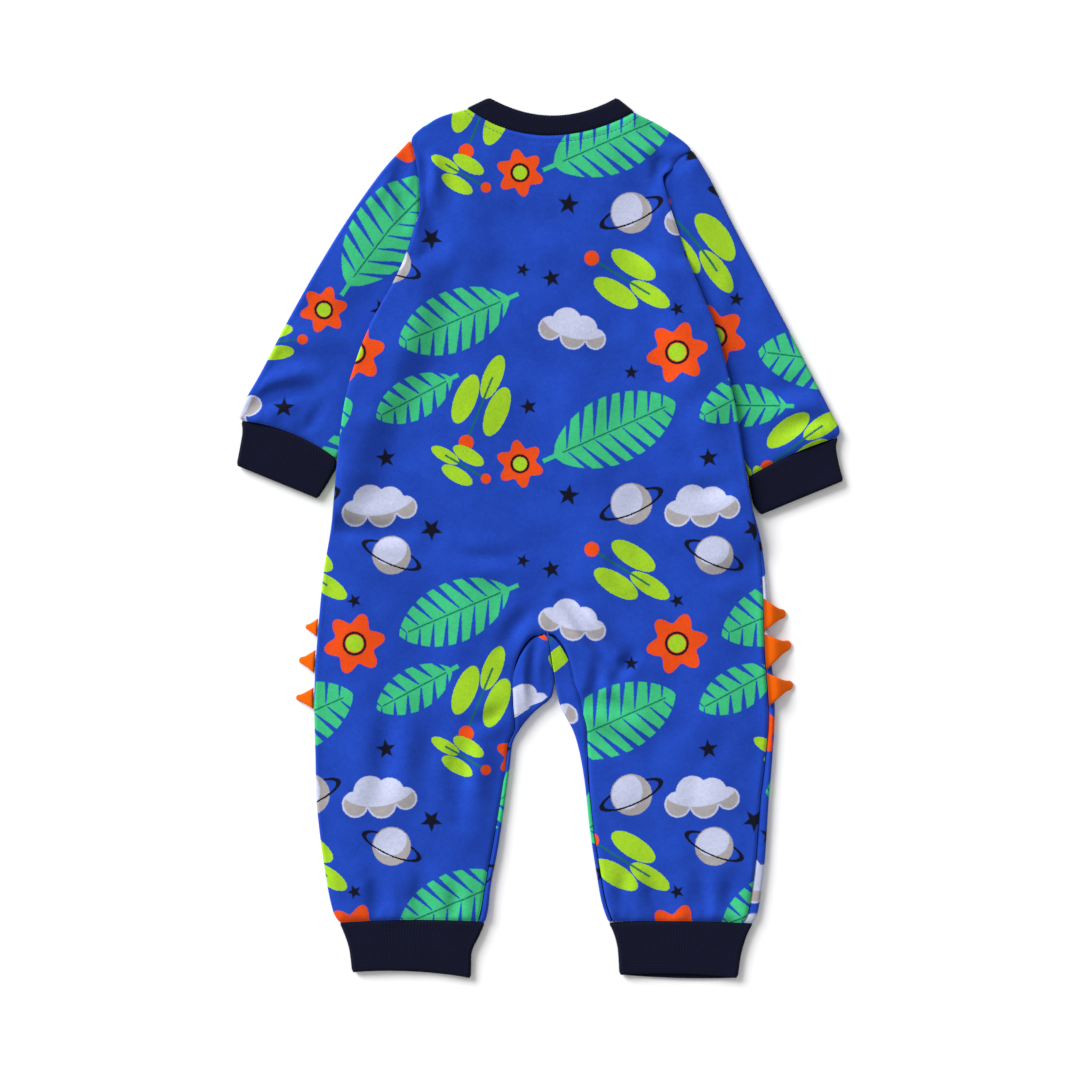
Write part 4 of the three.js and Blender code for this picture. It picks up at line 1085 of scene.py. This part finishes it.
def spike(side, number, upper, lower, tip_x, tip_y):
    """A flat spike of two layers of fleece: hollow flanks, a round tip, drooping to the surface."""
    ends = [section_at_height(side, y) for y in (upper, lower)]
    outwards = -1 if side == "left" else 1
    u = np.array(spike_columns)
    v = np.concatenate([np.linspace(0, tip_start, 22), spike_tip_rows])
    sections = mix(ends[0], ends[1], u)
    line = body_line(side, "back", sections)
    inset = np.maximum(0, side_seam(side, sections))
    base = on_line(line, (line.length - inset)[:, None])[:, 0]
    base = base + [outwards * seam_gap * 1.2, 0]
    middle = base[len(u) // 2]
    height = 1.4 if side == "left" else edge_height + seam_gap + 0.1
    cap = np.sqrt(np.maximum(0, 1 - np.maximum(0, (v - tip_start) / (1 - tip_start)) ** 2))
    flank = (1 - v) ** flank_power
    taper = (flank**tip_blend + (tip_width * cap * ease(v, 0, 0.5)) ** tip_blend) ** (1 / tip_blend)
    taper = np.maximum(taper, 0.012)
    spine = mix(middle, np.array([tip_x, tip_y]), v[:, None])
    plan = spine[:, None] + (base - middle)[None] * taper[:, None, None]
    droop = height * (1 - ease(v, 0.1 if side == "left" else 0.3, 1))
    thick = (np.maximum(0, 1 - (2 * u - 1) ** 4) ** 0.5)[None] * np.sqrt(np.maximum(0.0, 1 - v**8))[:, None]
    centre = droop[:, None] + spike_thickness / 2
    half = mix(0.3, spike_thickness / 2 + 0.15, thick)
    half[0] = spike_thickness / 2 * 0.8
    upper_side = np.dstack([plan, centre + half])
    lower_side = np.dstack([plan, np.maximum(centre - half, 0)])
    cut = spread([v[:, None] * 1000 + 0 * plan[..., 0], u[None] * 1000 + 0 * plan[..., 0]])
    return wall_mesh(f"fleece_spike_{side}_{number}", Strip(upper_side, lower_side, cut), rounding=0)


class Field:
    """A socket of a material, on which sums, products and comparisons add Math nodes."""

    def __init__(self, shader, socket):
        self.shader = shader
        self.socket = socket

    def maths(self, operation, *values):
        return self.shader.node("ShaderNodeMath", {"operation": operation}, (self, *values))

    def __add__(self, other):
        return self.maths("ADD", other)

    def __sub__(self, other):
        return self.maths("SUBTRACT", other)

    def __mul__(self, other):
        return self.maths("MULTIPLY", other)

    def __truediv__(self, other):
        return self.maths("DIVIDE", other)

    def __pow__(self, other):
        return self.maths("POWER", other)

    def __rsub__(self, other):
        return self.shader.node("ShaderNodeMath", {"operation": "SUBTRACT"}, (other, self))

    def __neg__(self):
        return self * -1.0

    def __abs__(self):
        return self.maths("ABSOLUTE")

    __radd__ = __add__
    __rmul__ = __mul__

    def smaller(self, other):
        return self.maths("MINIMUM", other)

    def larger(self, other):
        return self.maths("MAXIMUM", other)


class Shader:
    """A material whose nodes are added one by one, ending in a Principled BSDF."""

    def __init__(self, name, **uniform):
        self.material = bpy.data.materials.new(name)
        self.material.use_nodes = True
        self.tree = self.material.node_tree
        self.surface = self.tree.nodes["Principled BSDF"]
        for socket, value in uniform.items():
            self.surface.inputs[socket.replace("_", " ")].default_value = value

    def node(self, kind, settings=None, values=(), output=0):
        """Adds a node: its settings first, then the values or links of its sockets, by place or by name."""
        made = self.tree.nodes.new(kind)
        for setting, value in (settings or {}).items():
            setattr(made, setting, value)
        pairs = values.items() if isinstance(values, dict) else enumerate(values)
        for key, value in pairs:
            if isinstance(value, Field):
                self.tree.links.new(value.socket, made.inputs[key])
            elif value is not None:
                made.inputs[key].default_value = value
        return Field(self, made.outputs[output])

    def vector(self, operation, *values, output=0):
        return self.node("ShaderNodeVectorMath", {"operation": operation}, values, output)

    def on_cloth(self):
        """Places on the flat cloth, in metres."""
        return self.node("ShaderNodeUVMap", {"uv_map": "cut"})

    def in_space(self):
        """Places in the piece's own space, in metres."""
        return self.node("ShaderNodeTexCoord", output=3)

    def parts(self, place):
        """The x and the y of a place."""
        x = self.node("ShaderNodeSeparateXYZ", {}, (place,), 0)
        return x, Field(self, x.socket.node.outputs[1])

    def blend(self, factor, first, second):
        """A colour between two, each a Field or four numbers."""
        settings = {"data_type": "RGBA", "clamp_factor": True}
        return self.node("ShaderNodeMix", settings, {0: factor, 6: first, 7: second}, 2)

    def noise(self, place, scale, detail=2.0, roughness=0.5, output=0):
        values = {"Vector": place, "Scale": scale, "Detail": detail, "Roughness": roughness}
        return self.node("ShaderNodeTexNoise", {}, values, output)

    def feed(self, socket, field):
        self.tree.links.new(field.socket, self.surface.inputs[socket])

    def raise_by(self, height, strength, distance):
        """Makes the surface look raised where the height is large."""
        values = {"Strength": strength, "Distance": distance, "Height": height}
        self.feed("Normal", self.node("ShaderNodeBump", {}, values))


def colour(red, green, blue):
    """A colour of 8-bit display values as linear light."""
    def linear(value):
        value /= 255
        return value / 12.92 if value <= 0.04045 else ((value + 0.055) / 1.055) ** 2.4
    return (linear(red), linear(green), linear(blue), 1.0)


darker_ground = colour(18, 50, 146)
lighter_ground = colour(30, 70, 178)
leaf_green = colour(54, 172, 114)
deep_green = colour(16, 92, 84)
lime = colour(142, 186, 34)
cloud_white = colour(176, 181, 206)
stone_grey = colour(150, 146, 148)
petal_orange = colour(208, 68, 14)
ink = colour(10, 11, 26)

repeat = (0.226, 0.204)  # the print repeats at these distances, in metres
blur = 0.7  # how wide the edges of its colours are, in millimetres
# The print: kind, centre x, y, turned by degrees, size. Sizes in millimetres.
motifs = [
    ("star", 20, 30, 10, 8.0),
    ("star", 96, 160, 40, 5.4),
    ("star", 118, 56, 25, 7.2),
    ("star", 214, 188, 0, 5.2),
    ("star", 150, 6, 55, 8.2),
    ("star", 64, 116, 15, 5.4),
    ("star", 218, 92, 30, 6.2),
    ("star", 8, 182, 30, 6.8),
    ("fern", 52, 76, 24, 94),
    ("fern", 166, 152, -157, 84),
    ("fern", 138, 98, 208, 60),
    ("cloud", 112, 22, 9, 1.15),
    ("cloud", 22, 146, -12, 1.05),
    ("flower", 96, 130, 12, 18),
    ("flower", 212, 52, 40, 14),
    ("sprig", 186, 96, 68, 33),
    ("sprig", 62, 180, -32, 32),
    ("planet", 64, 24, 24, 14.5),
    ("planet", 122, 192, -24, 13.5),
    ("sprig", 170, 52, 150, 22),
]


class Print:
    """The printed cloth: shapes on a blue ground, laid over one another in order."""

    def __init__(self, shader, cut):
        self.shader = shader
        self.cut = cut
        self.colour = None

    def place(self, x, y, angle):
        """Millimetres from a motif's centre, in the motif's own turn."""
        shader = self.shader
        away = shader.vector("SUBTRACT", self.cut, (x / 1000, y / 1000, 0))
        half = (repeat[0] / 2, repeat[1] / 2, 0.5)
        wrapped = shader.vector("WRAP", away, half, tuple(-value for value in half))
        turn = {"Vector": wrapped, "Angle": math.radians(-angle)}
        level = shader.node("ShaderNodeVectorRotate", {"rotation_type": "Z_AXIS"}, turn)
        return shader.vector("MULTIPLY", level, (1000.0, 1000.0, 0.0))

    def disc(self, place, x, y, radius, wide=1.0, high=1.0):
        """How far outside an ellipse a place is, in millimetres."""
        away = self.shader.vector("SUBTRACT", place, (x, y, 0.0))
        if (wide, high) != (1.0, 1.0):
            away = self.shader.vector("MULTIPLY", away, (1 / wide, 1 / high, 1.0))
        return self.shader.vector("LENGTH", away, output=1) - radius

    def paint(self, distance, ink_colour):
        """Lays a colour where the distance is below 0, with an edge that is `blur` wide."""
        edges = {"Value": distance, "From Min": blur / 2, "From Max": -blur / 2}
        mask = self.shader.node("ShaderNodeMapRange", {"clamp": True}, edges)
        self.colour = self.shader.blend(mask, self.colour, ink_colour)

    def star(self, place, size):
        x, y = self.shader.parts(place)
        angle = y.maths("ARCTAN2", x).maths("WRAP", math.pi / 5, -math.pi / 5)
        radius = self.shader.vector("LENGTH", place, output=1)
        sideways = abs(angle.maths("SINE") * radius)
        tip = angle.maths("COSINE") * radius
        hollow = 0.42 * size
        run = (hollow * math.cos(math.pi / 5) - size, hollow * math.sin(math.pi / 5))
        long = math.hypot(*run)
        self.paint((tip - size) * (run[1] / long) - sideways * (run[0] / long), ink)

    def fern(self, place, size):
        x, y = self.shader.parts(place)
        side = abs(y)
        reach = (1 - (x * (2 / size)) ** 2).larger(0.0)
        envelope = reach**0.7 * (size * 0.26) - 0.6
        notch = abs((x - side * 0.5).maths("WRAP", 5.2, -5.2)) - (1 - side / (size * 0.31)) * 2.6 - 2.3
        leaf = notch.larger(side - envelope).smaller((side - 1.5).larger(abs(x + size * 0.08) - size * 0.5))
        self.paint(leaf, leaf_green)
        self.paint((side - 0.5).larger(abs(x) - size * 0.42), deep_green)

    def cloud(self, place, size):
        shapes = [(-14, -2, 8), (-4, 4, 10), (8, 2, 9), (17, -3, 7), (2, -4, 9)]
        whole = None
        for x, y, radius in shapes:
            disc = self.disc(place, x * size, y * size, radius * size)
            whole = disc if whole is None else whole.smaller(disc)
        self.paint(whole, cloud_white)
        lower = self.disc(place, 2 * size, 9 * size, 17 * size, 1.35, 0.8)
        self.paint(whole.larger(-lower) + 1.2, stone_grey)

    def flower(self, place, size):
        x, y = self.shader.parts(place)
        angle = y.maths("ARCTAN2", x)
        petals = (angle * 6.0).maths("COSINE") * (size * 0.2)
        radius = self.shader.vector("LENGTH", place, output=1)
        self.paint(radius - size - petals, petal_orange)
        self.paint(abs(radius - size * 0.42) - 0.9, ink)
        self.paint(radius - size * 0.34, lime)

    def sprig(self, place, size):
        for x, y, wide, high in ((-0.1, 0.36, 1.0, 0.42), (-0.1, -0.36, 1.0, 0.42), (0.55, 0.0, 0.9, 0.36)):
            leaf = self.disc(place, x * size, y * size, size * 0.55, wide, high)
            self.paint(leaf, lime)
        x, y = self.shader.parts(place)
        self.paint((abs(y) - 0.7).larger(abs(x + size * 0.2) - size * 0.75), deep_green)
        self.paint(self.disc(place, -size * 0.95, 0.0, size * 0.16), petal_orange)

    def planet(self, place, size):
        whole = self.disc(place, 0.0, 0.0, size)
        self.paint(whole, stone_grey)
        light = self.disc(place, -size * 0.25, size * 0.3, size * 0.95)
        self.paint(whole.larger(light) + 0.8, cloud_white)
        ring = abs(self.disc(place, 0.0, 0.0, size * 1.55, 1.0, 0.3)) - size * 0.13
        _, y = self.shader.parts(place)
        behind = (-whole).smaller(y)
        self.paint(ring.larger(behind), ink)


def attribute(shader, name):
    """A number that each point of a mesh holds."""
    return shader.node("ShaderNodeAttribute", {"attribute_name": name}, output=2)


def fleece_material():
    """Brushed fleece, printed on its outside."""
    shader = Shader(
        "printed fleece", Roughness=0.92, Specular_IOR_Level=0.06, Sheen_Weight=0.12, Sheen_Roughness=0.5,
    )
    shader.surface.inputs["Sheen Tint"].default_value = (0.75, 0.82, 1.0, 1.0)
    cut, place = shader.on_cloth(), shader.in_space()
    wobble = shader.noise(place, 900.0, 1.0)
    nap = shader.noise(place, 2600.0, 2.0)
    brushed = shader.noise(place, 55.0, 4.0, 0.6)
    fibres = shader.noise(place, 1300.0, 1.0, output=1)
    astray = shader.vector("SUBTRACT", fibres, (0.5, 0.5, 0.5))
    astray = shader.vector("MULTIPLY", astray, (0.0012, 0.0012, 0.0))
    cloth = Print(shader, shader.vector("ADD", cut, astray))
    cloth.colour = shader.blend(brushed, darker_ground, lighter_ground)
    draw = {
        "star": cloth.star, "fern": cloth.fern, "cloud": cloth.cloud,
        "flower": cloth.flower, "sprig": cloth.sprig, "planet": cloth.planet,
    }
    for kind, x, y, angle, size in motifs:
        draw[kind](cloth.place(x, y, angle), size)
    cloth.paint(0.5 - attribute(shader, "inside"), darker_ground)  # no print on the inside, which has only the ground's darkest tone: the cloth's plain back, kept dark as painted shade for the gaps that look into it
    mottle = shader.noise(place, 380.0, 2.0, 0.6)
    shade = 0.66 + 0.3 * mottle + 0.22 * wobble + 0.1 * nap
    tint = shader.node("ShaderNodeCombineColor", {}, (shade, shade, shade))
    multiply = {"data_type": "RGBA", "blend_type": "MULTIPLY"}
    shader.feed("Base Color", shader.node("ShaderNodeMix", multiply, {0: 1.0, 6: cloth.colour, 7: tint}, 2))
    shader.raise_by(wobble * 0.6 + nap * 0.4, 0.35, 0.0004)
    return shader.material


def rib_material():
    """Navy rib knit: painted shade between the ribs, with a row of loops every 1.4 mm."""
    shader = Shader(
        "navy rib knit", Roughness=0.92, Specular_IOR_Level=0.06, Sheen_Weight=0.05, Sheen_Roughness=0.5,
    )
    ribs = attribute(shader, "rib")
    _, down = shader.parts(shader.on_cloth())
    loop_height = 0.0014  # in metres
    loops = (down * (full_turn / loop_height)).maths("SINE")
    crest = (ribs * full_turn).maths("COSINE")
    fuzz = shader.noise(shader.in_space(), 1500.0, 2.0)
    # the crest term is painted shade between the ribs and painted light on their crests; the fuzz is the
    # yarn's own tone
    level = crest * 0.12 + fuzz * 0.5 + 0.25
    shader.feed("Base Color", shader.blend(level, colour(7, 8, 23), colour(17, 19, 42)))
    shader.raise_by(loops * 0.5 + fuzz, 0.4, 0.0003)
    return shader.material


def spike_material():
    """Orange fleece, in shade beside the side seam."""
    shader = Shader(
        "orange fleece", Roughness=0.92, Specular_IOR_Level=0.08, Sheen_Weight=0.04, Sheen_Roughness=0.5,
    )
    out, _ = shader.parts(shader.on_cloth())
    fuzz = shader.noise(shader.in_space(), 1700.0, 2.0)
    reach = {"Value": out, "From Min": 0.16, "From Max": 0.0}
    near_seam = shader.node("ShaderNodeMapRange", {"clamp": True}, reach)
    base = shader.blend(fuzz, colour(206, 80, 0), colour(226, 98, 2))
    shader.feed("Base Color", shader.blend(near_seam * 0.85, base, colour(120, 34, 4)))
    shader.raise_by(fuzz, 0.35, 0.0004)
    return shader.material


def thread_material():
    """Blue sewing thread."""
    shader = Shader("blue thread", Roughness=0.6, Specular_IOR_Level=0.3)
    strands = shader.noise(shader.in_space(), 2600.0, 1.0)
    shader.feed("Base Color", shader.blend(strands, colour(20, 48, 150), colour(36, 74, 190)))
    return shader.material


def tape_material():
    """The zip's tape, in a herringbone weave."""
    shader = Shader("navy woven tape", Roughness=0.8, Specular_IOR_Level=0.2)
    x, y = shader.parts(shader.in_space())
    aside = x - centre_x / 1000
    threads = 5200.0  # radians of weave to a metre
    weave = (aside * threads).maths("SINE") * ((y + abs(aside)) * threads).maths("SINE")
    shader.feed("Base Color", shader.blend(weave * 0.5 + 0.5, colour(16, 18, 38), colour(34, 37, 66)))
    shader.raise_by(weave, 0.4, 0.0002)
    return shader.material


def plastic_material():
    """The zip's teeth and slider."""
    shader = Shader("navy plastic", Specular_IOR_Level=0.5)
    grain = shader.noise(shader.in_space(), 1200.0, 2.0)
    shader.feed("Base Color", shader.blend(grain, colour(22, 24, 48), colour(34, 37, 66)))
    shader.feed("Roughness", 0.34 + 0.2 * grain)
    return shader.material


fleece, rib, orange = fleece_material(), rib_material(), spike_material()
thread, tape, plastic = thread_material(), tape_material(), plastic_material()


class Tree:
    """A tree of Geometry Nodes with named inputs."""

    def __init__(self, name, **inputs):
        self.group = bpy.data.node_groups.new(name, "GeometryNodeTree")
        face = self.group.interface
        face.new_socket("Geometry", in_out="OUTPUT", socket_type="NodeSocketGeometry")
        face.new_socket("Geometry", in_out="INPUT", socket_type="NodeSocketGeometry")
        for label, value in inputs.items():
            socket = face.new_socket(label.replace("_", " "), in_out="INPUT", socket_type="NodeSocketFloat")
            socket.default_value = value
        face.new_socket("Material", in_out="INPUT", socket_type="NodeSocketMaterial")
        self.inside = self.group.nodes.new("NodeGroupInput")

    def given(self, name):
        return self.inside.outputs[name]

    def node(self, kind, settings=None, values=None, output=0):
        made = self.group.nodes.new(kind)
        for setting, value in (settings or {}).items():
            setattr(made, setting, value)
        for key, value in (values or {}).items():
            if isinstance(value, bpy.types.NodeSocket):
                self.group.links.new(value, made.inputs[key])
            else:
                made.inputs[key].default_value = value
        return made.outputs[output]

    def maths(self, operation, *values):
        return self.node("ShaderNodeMath", {"operation": operation}, dict(enumerate(values)))

    def finish(self, geometry):
        real = self.node("GeometryNodeRealizeInstances", {}, {"Geometry": geometry})
        coated = {"Geometry": real, "Material": self.given("Material")}
        finished = self.node("GeometryNodeSetMaterial", {}, coated)
        out = self.group.nodes.new("NodeGroupOutput")
        self.group.links.new(finished, out.inputs[0])

    def apply(self, piece, material, **sizes):
        """Runs the tree on a piece and keeps its result as the piece's plain mesh."""
        modifier = piece.modifiers.new(self.group.name, "NODES")
        modifier.node_group = self.group
        for item in self.group.interface.items_tree:
            if item.in_out != "INPUT":
                continue
            label = item.name.replace(" ", "_")
            if label == "Material":
                modifier[item.identifier] = material
            elif label in sizes:
                modifier[item.identifier] = sizes[label]
        piece.update_tag()
        graph = bpy.context.evaluated_depsgraph_get()
        result = bpy.data.meshes.new_from_object(piece.evaluated_get(graph), depsgraph=graph)
        piece.modifiers.remove(modifier)
        old = piece.data
        piece.data = result
        bpy.data.meshes.remove(old)
        result.name = piece.name
        result.polygons.foreach_set("use_smooth", np.ones(len(result.polygons), bool))
        return piece


def rib_tree():
    """Raises ribs on a band, by the rib number that each of its points has."""
    tree = Tree("Rib knit", Depth=0.00008)
    number = tree.node("GeometryNodeInputNamedAttribute", {"data_type": "FLOAT"}, {"Name": "rib"})
    crest = tree.maths("COSINE", tree.maths("MULTIPLY", number, full_turn))
    height = tree.maths("MULTIPLY", crest, tree.given("Depth"))
    normal = tree.node("GeometryNodeInputNormal")
    offset = tree.node("ShaderNodeVectorMath", {"operation": "SCALE"}, {0: normal, "Scale": height})
    moved = tree.node("GeometryNodeSetPosition", {}, {"Geometry": tree.given("Geometry"), "Offset": offset})
    tree.finish(moved)
    return tree


def spaced_points(tree):
    """Points at the tree's pitch along the piece's line."""
    line = tree.node("GeometryNodeMeshToCurve", {}, {"Mesh": tree.given("Geometry")})
    pitch = {"Curve": line, "Length": tree.given("Pitch")}
    return tree.node("GeometryNodeResampleCurve", {"mode": "LENGTH"}, pitch)


def box_size(tree, *names):
    """The size of a copy: the inputs that give its x, y and z."""
    sizes = {axis: tree.given(name) for axis, name in zip("XYZ", names)}
    return tree.node("ShaderNodeCombineXYZ", {}, sizes)


def stitch_tree():
    """Lays short stitches end to end along a line."""
    tree = Tree("Stitch row", Pitch=0.0029, Length=0.0023, Thickness=0.00045)
    spaced = spaced_points(tree)
    tangent = tree.node("GeometryNodeInputTangent")
    turn = tree.node("FunctionNodeAlignRotationToVector", {"axis": "X"}, {"Vector": tangent})
    ball = tree.node("GeometryNodeMeshUVSphere", {}, {"Segments": 8, "Rings": 6, "Radius": 0.5})
    size = box_size(tree, "Length", "Thickness", "Thickness")
    copies = {"Points": spaced, "Instance": ball, "Rotation": turn, "Scale": size}
    tree.finish(tree.node("GeometryNodeInstanceOnPoints", {}, copies))
    return tree


def teeth_tree():
    """Sets small teeth across a line, alternately to its left and right."""
    tree = Tree("Zip teeth", Pitch=0.0009, Width=0.0026, Height=0.0008)
    spaced = spaced_points(tree)
    number = tree.node("GeometryNodeInputIndex")
    odd = tree.maths("SUBTRACT", tree.maths("MULTIPLY", tree.maths("MODULO", number, 2.0), 2.0), 1.0)
    half_offset = 0.0007  # how far each tooth stands to its side, in metres
    aside = tree.node("ShaderNodeCombineXYZ", {}, {"X": tree.maths("MULTIPLY", odd, half_offset)})
    moved = tree.node("GeometryNodeSetPosition", {}, {"Geometry": spaced, "Offset": aside})
    tooth = tree.node("GeometryNodeMeshCylinder", {}, {"Vertices": 8, "Radius": 0.5, "Depth": 1.0})
    size = box_size(tree, "Height", "Pitch", "Width")
    turn = tree.node("FunctionNodeEulerToRotation", {}, {0: (0.0, math.pi / 2, 0.0)})
    copies = {"Points": moved, "Instance": tooth, "Rotation": turn, "Scale": size}
    tree.finish(tree.node("GeometryNodeInstanceOnPoints", {}, copies))
    return tree


def line_piece(name, points):
    """A piece that is a row of edges through points, for a tree to work on."""
    mesh = bpy.data.meshes.new(name)
    mesh.from_pydata((np.asarray(points) / 1000).tolist(), [(i, i + 1) for i in range(len(points) - 1)], [])
    piece = bpy.data.objects.new(name, mesh)
    bpy.context.collection.objects.link(piece)
    return piece


def finish_piece(piece, material, slot, *nodes):
    """Gives a piece its material, hides the solids it replaces, and attaches it to its body; `slot` is not
    used.
    """
    if not piece.data.materials:
        piece.data.materials.append(material)
    if nodes:
        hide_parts(*nodes)
    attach(piece, "root")
    return piece


def smooth_line(points, spacing):
    """Points `spacing` apart on a smooth curve through plan points."""
    points = np.array(points, float)
    at = np.linspace(0, len(points) - 1, 400)
    curve = spread([along(points, 0, at), along(points, 1, at)])
    reached = distances(curve)
    wanted = np.linspace(0, reached[-1], int(reached[-1] / spacing) + 1)
    return spread([np.interp(wanted, reached, curve[:, 0]), np.interp(wanted, reached, curve[:, 1])])


ribbing, stitching, toothing = rib_tree(), stitch_tree(), teeth_tree()

back = finish_piece(back_cloth(), fleece, "fleece", "back_panel")
fronts = {side: finish_piece(front_cloth(side), fleece, "fleece", f"front_panel_{side}") for side in sleeves}
arms = {side: finish_piece(sleeve_cloth(side), fleece, "fleece", f"sleeve_{side}") for side in sleeves}
cuffs = {}
for name in cuff_sections:
    place, side = name.split("_")
    band = ribbing.apply(cuff_band(name), rib)
    cuffs[name] = finish_piece(band, rib, "rib", f"{place}_cuff_{side}")
neck = finish_piece(ribbing.apply(neck_band(), rib), rib, "rib", "neckband")
points_of_cloth = {
    (side, number): finish_piece(spike(side, number, *row), orange, "spike", f"spike_{side}_{number}")
    for side, rows in spikes.items() for number, row in enumerate(rows, 1)
}

stitch_line = smooth_line(neck_stitches, 1.0)
stitch_height = body_top(stitch_line[None], "back")[0]
neck_thread = line_piece("thread_neck", np.column_stack([stitch_line, stitch_height + 0.08]))
stitching.apply(neck_thread, thread)
finish_piece(neck_thread, thread, "fleece")


tape_top, tape_narrows, tape_end = 270.8, -22, -40  # heights in Y
teeth_top, teeth_end = 258, -34


def zip_tape():
    """The zip's woven tape, on the surface under the two fronts, narrower at its lower end."""
    straight = np.linspace(tape_top, tape_narrows, 74)
    stops = np.concatenate([straight, np.linspace(tape_narrows - 2, tape_end, 8)])
    half = zip_half * np.interp(-stops, [-tape_top, -tape_narrows, -tape_end], [1, 1, 0.3])
    across = np.array([-1, -0.92, -0.5, -0.12, 0, 0.12, 0.5, 0.92, 1])
    plan = spread([centre_x + across[None] * half[:, None], stops[:, None] + 0 * across[None]])
    thin = 0.25 * (np.abs(across) > 0.95)
    under = np.dstack([plan, 0.9 + thin[None] + 0 * plan[..., 0]])
    over = np.dstack([plan, 2.0 - thin[None] + 0 * plan[..., 0]])
    return wall_mesh("tape_zip", Strip(over, under, plan), rounding=0)


tape_piece = finish_piece(zip_tape(), tape, "zip", "zip_tape")
teeth_stops = np.linspace(teeth_top, teeth_end, 60)
teeth_line = np.column_stack([np.full(60, centre_x), teeth_stops, np.full(60, 0.45)])
teeth = toothing.apply(line_piece("teeth_zip", teeth_line), plastic)
finish_piece(teeth, plastic, "zip")


def zip_slider():
    """A flat slider in the form of a shield, thinner at its rim."""
    long, wide, narrow, thick = 9.0, 3.6, 2.4, 0.6
    v = np.linspace(0, 1, 25)
    shoulder = 0.55  # along it, where its straight sides turn into its round top
    bent = wide * np.sqrt(np.maximum(0, 1 - ((v - shoulder) / (1 - shoulder)) ** 2))
    half = np.maximum(np.where(v < shoulder, mix(narrow, wide, v / shoulder), bent), 0.15)
    across = np.linspace(-1, 1, 13)
    plan = spread([
        centre_x + across[None] * half[:, None], teeth_top + 2 + long * v[:, None] + 0 * across[None],
    ])
    edge = 0.16 * (np.abs(across) > 0.9)[None] + 0 * plan[..., 0]
    lower = np.dstack([plan, edge])
    upper = np.dstack([plan, thick - edge])
    return wall_mesh("slider_zip", Strip(upper, lower, plan), rounding=0)


finish_piece(zip_slider(), plastic, "slider", "zip_slider")

for side, sign in (("left", -1), ("right", 1)):
    y = np.linspace(252, -16, 120)
    x = np.full_like(y, centre_x + sign * (zip_half + 2.2))
    row = line_piece(f"thread_zip_{side}", np.column_stack([x, y, 0 * y + 0.1]))
    stitching.apply(row, thread, Thickness=0.0004)
    finish_piece(row, thread, "fleece")


def cloth_area(piece):
    """The area of a piece's cloth: half of its skin, in square metres."""
    return sum(face.area for face in piece.data.polygons) / 2


def cut_sheet(piece, flat):
    """Works out the area of a piece's cloth, and keeps nothing of it; `flat`, the width and length of the
    cloth that it needs, is not used.
    """
    cloth_area(piece)


cut_sheet(back, (0.345, 0.59))
for side in sleeves:
    cut_sheet(fronts[side], (0.19, 0.59))
    cut_sheet(arms[side], (0.27, 0.25))
for name, piece in cuffs.items():
    cut_sheet(piece, (0.14, 0.04) if "wrist" in name else (0.21, 0.045))
cut_sheet(neck, (0.32, 0.02))
for (side, number), piece in points_of_cloth.items():
    upper, lower = spikes[side][number - 1][:2]
    cut_sheet(piece, ((upper - lower) / 1000, 0.015))

floor_half, floor_height = 40.0, -0.0004  # in metres
corners = [(x * floor_half, y * floor_half, floor_height) for x, y in ((-1, -1), (1, -1), (1, 1), (-1, 1))]
floor_mesh = bpy.data.meshes.new("floor")
floor_mesh.from_pydata(corners, [], [(0, 1, 2, 3)])
floor = bpy.data.objects.new("floor", floor_mesh)
floor_shader = Shader("pale table", Roughness=0.9, Specular_IOR_Level=0.1)
grain = floor_shader.noise(floor_shader.in_space(), 40.0, 3.0)
floor_shader.feed("Base Color", floor_shader.blend(grain, (0.86, 0.86, 0.865, 1), (0.9, 0.9, 0.905, 1)))
floor_mesh.materials.append(floor_shader.material)
bpy.context.collection.objects.link(floor)

window_data = bpy.data.lights.new("window", "SUN")
window_data.energy = 5.4
window_data.angle = math.radians(38)
window = bpy.data.objects.new("window", window_data)
window.rotation_euler = (math.radians(-38), math.radians(-56), 0)
bpy.context.collection.objects.link(window)

world = bpy.data.worlds.new("room")
bpy.context.scene.world = world
world.use_nodes = True
world.node_tree.nodes["Background"].inputs[0].default_value = (1, 1, 1, 1)
world.node_tree.nodes["Background"].inputs[1].default_value = 0.55
bpy.context.scene.view_settings.view_transform = "Standard"

camera_data = bpy.data.cameras.new("camera")
camera_data.lens = 100
camera_data.sensor_width = 36
camera = bpy.data.objects.new("camera", camera_data)
camera.location = (0, -0.0014, 2.109)
bpy.context.collection.objects.link(camera)
bpy.context.scene.camera = camera
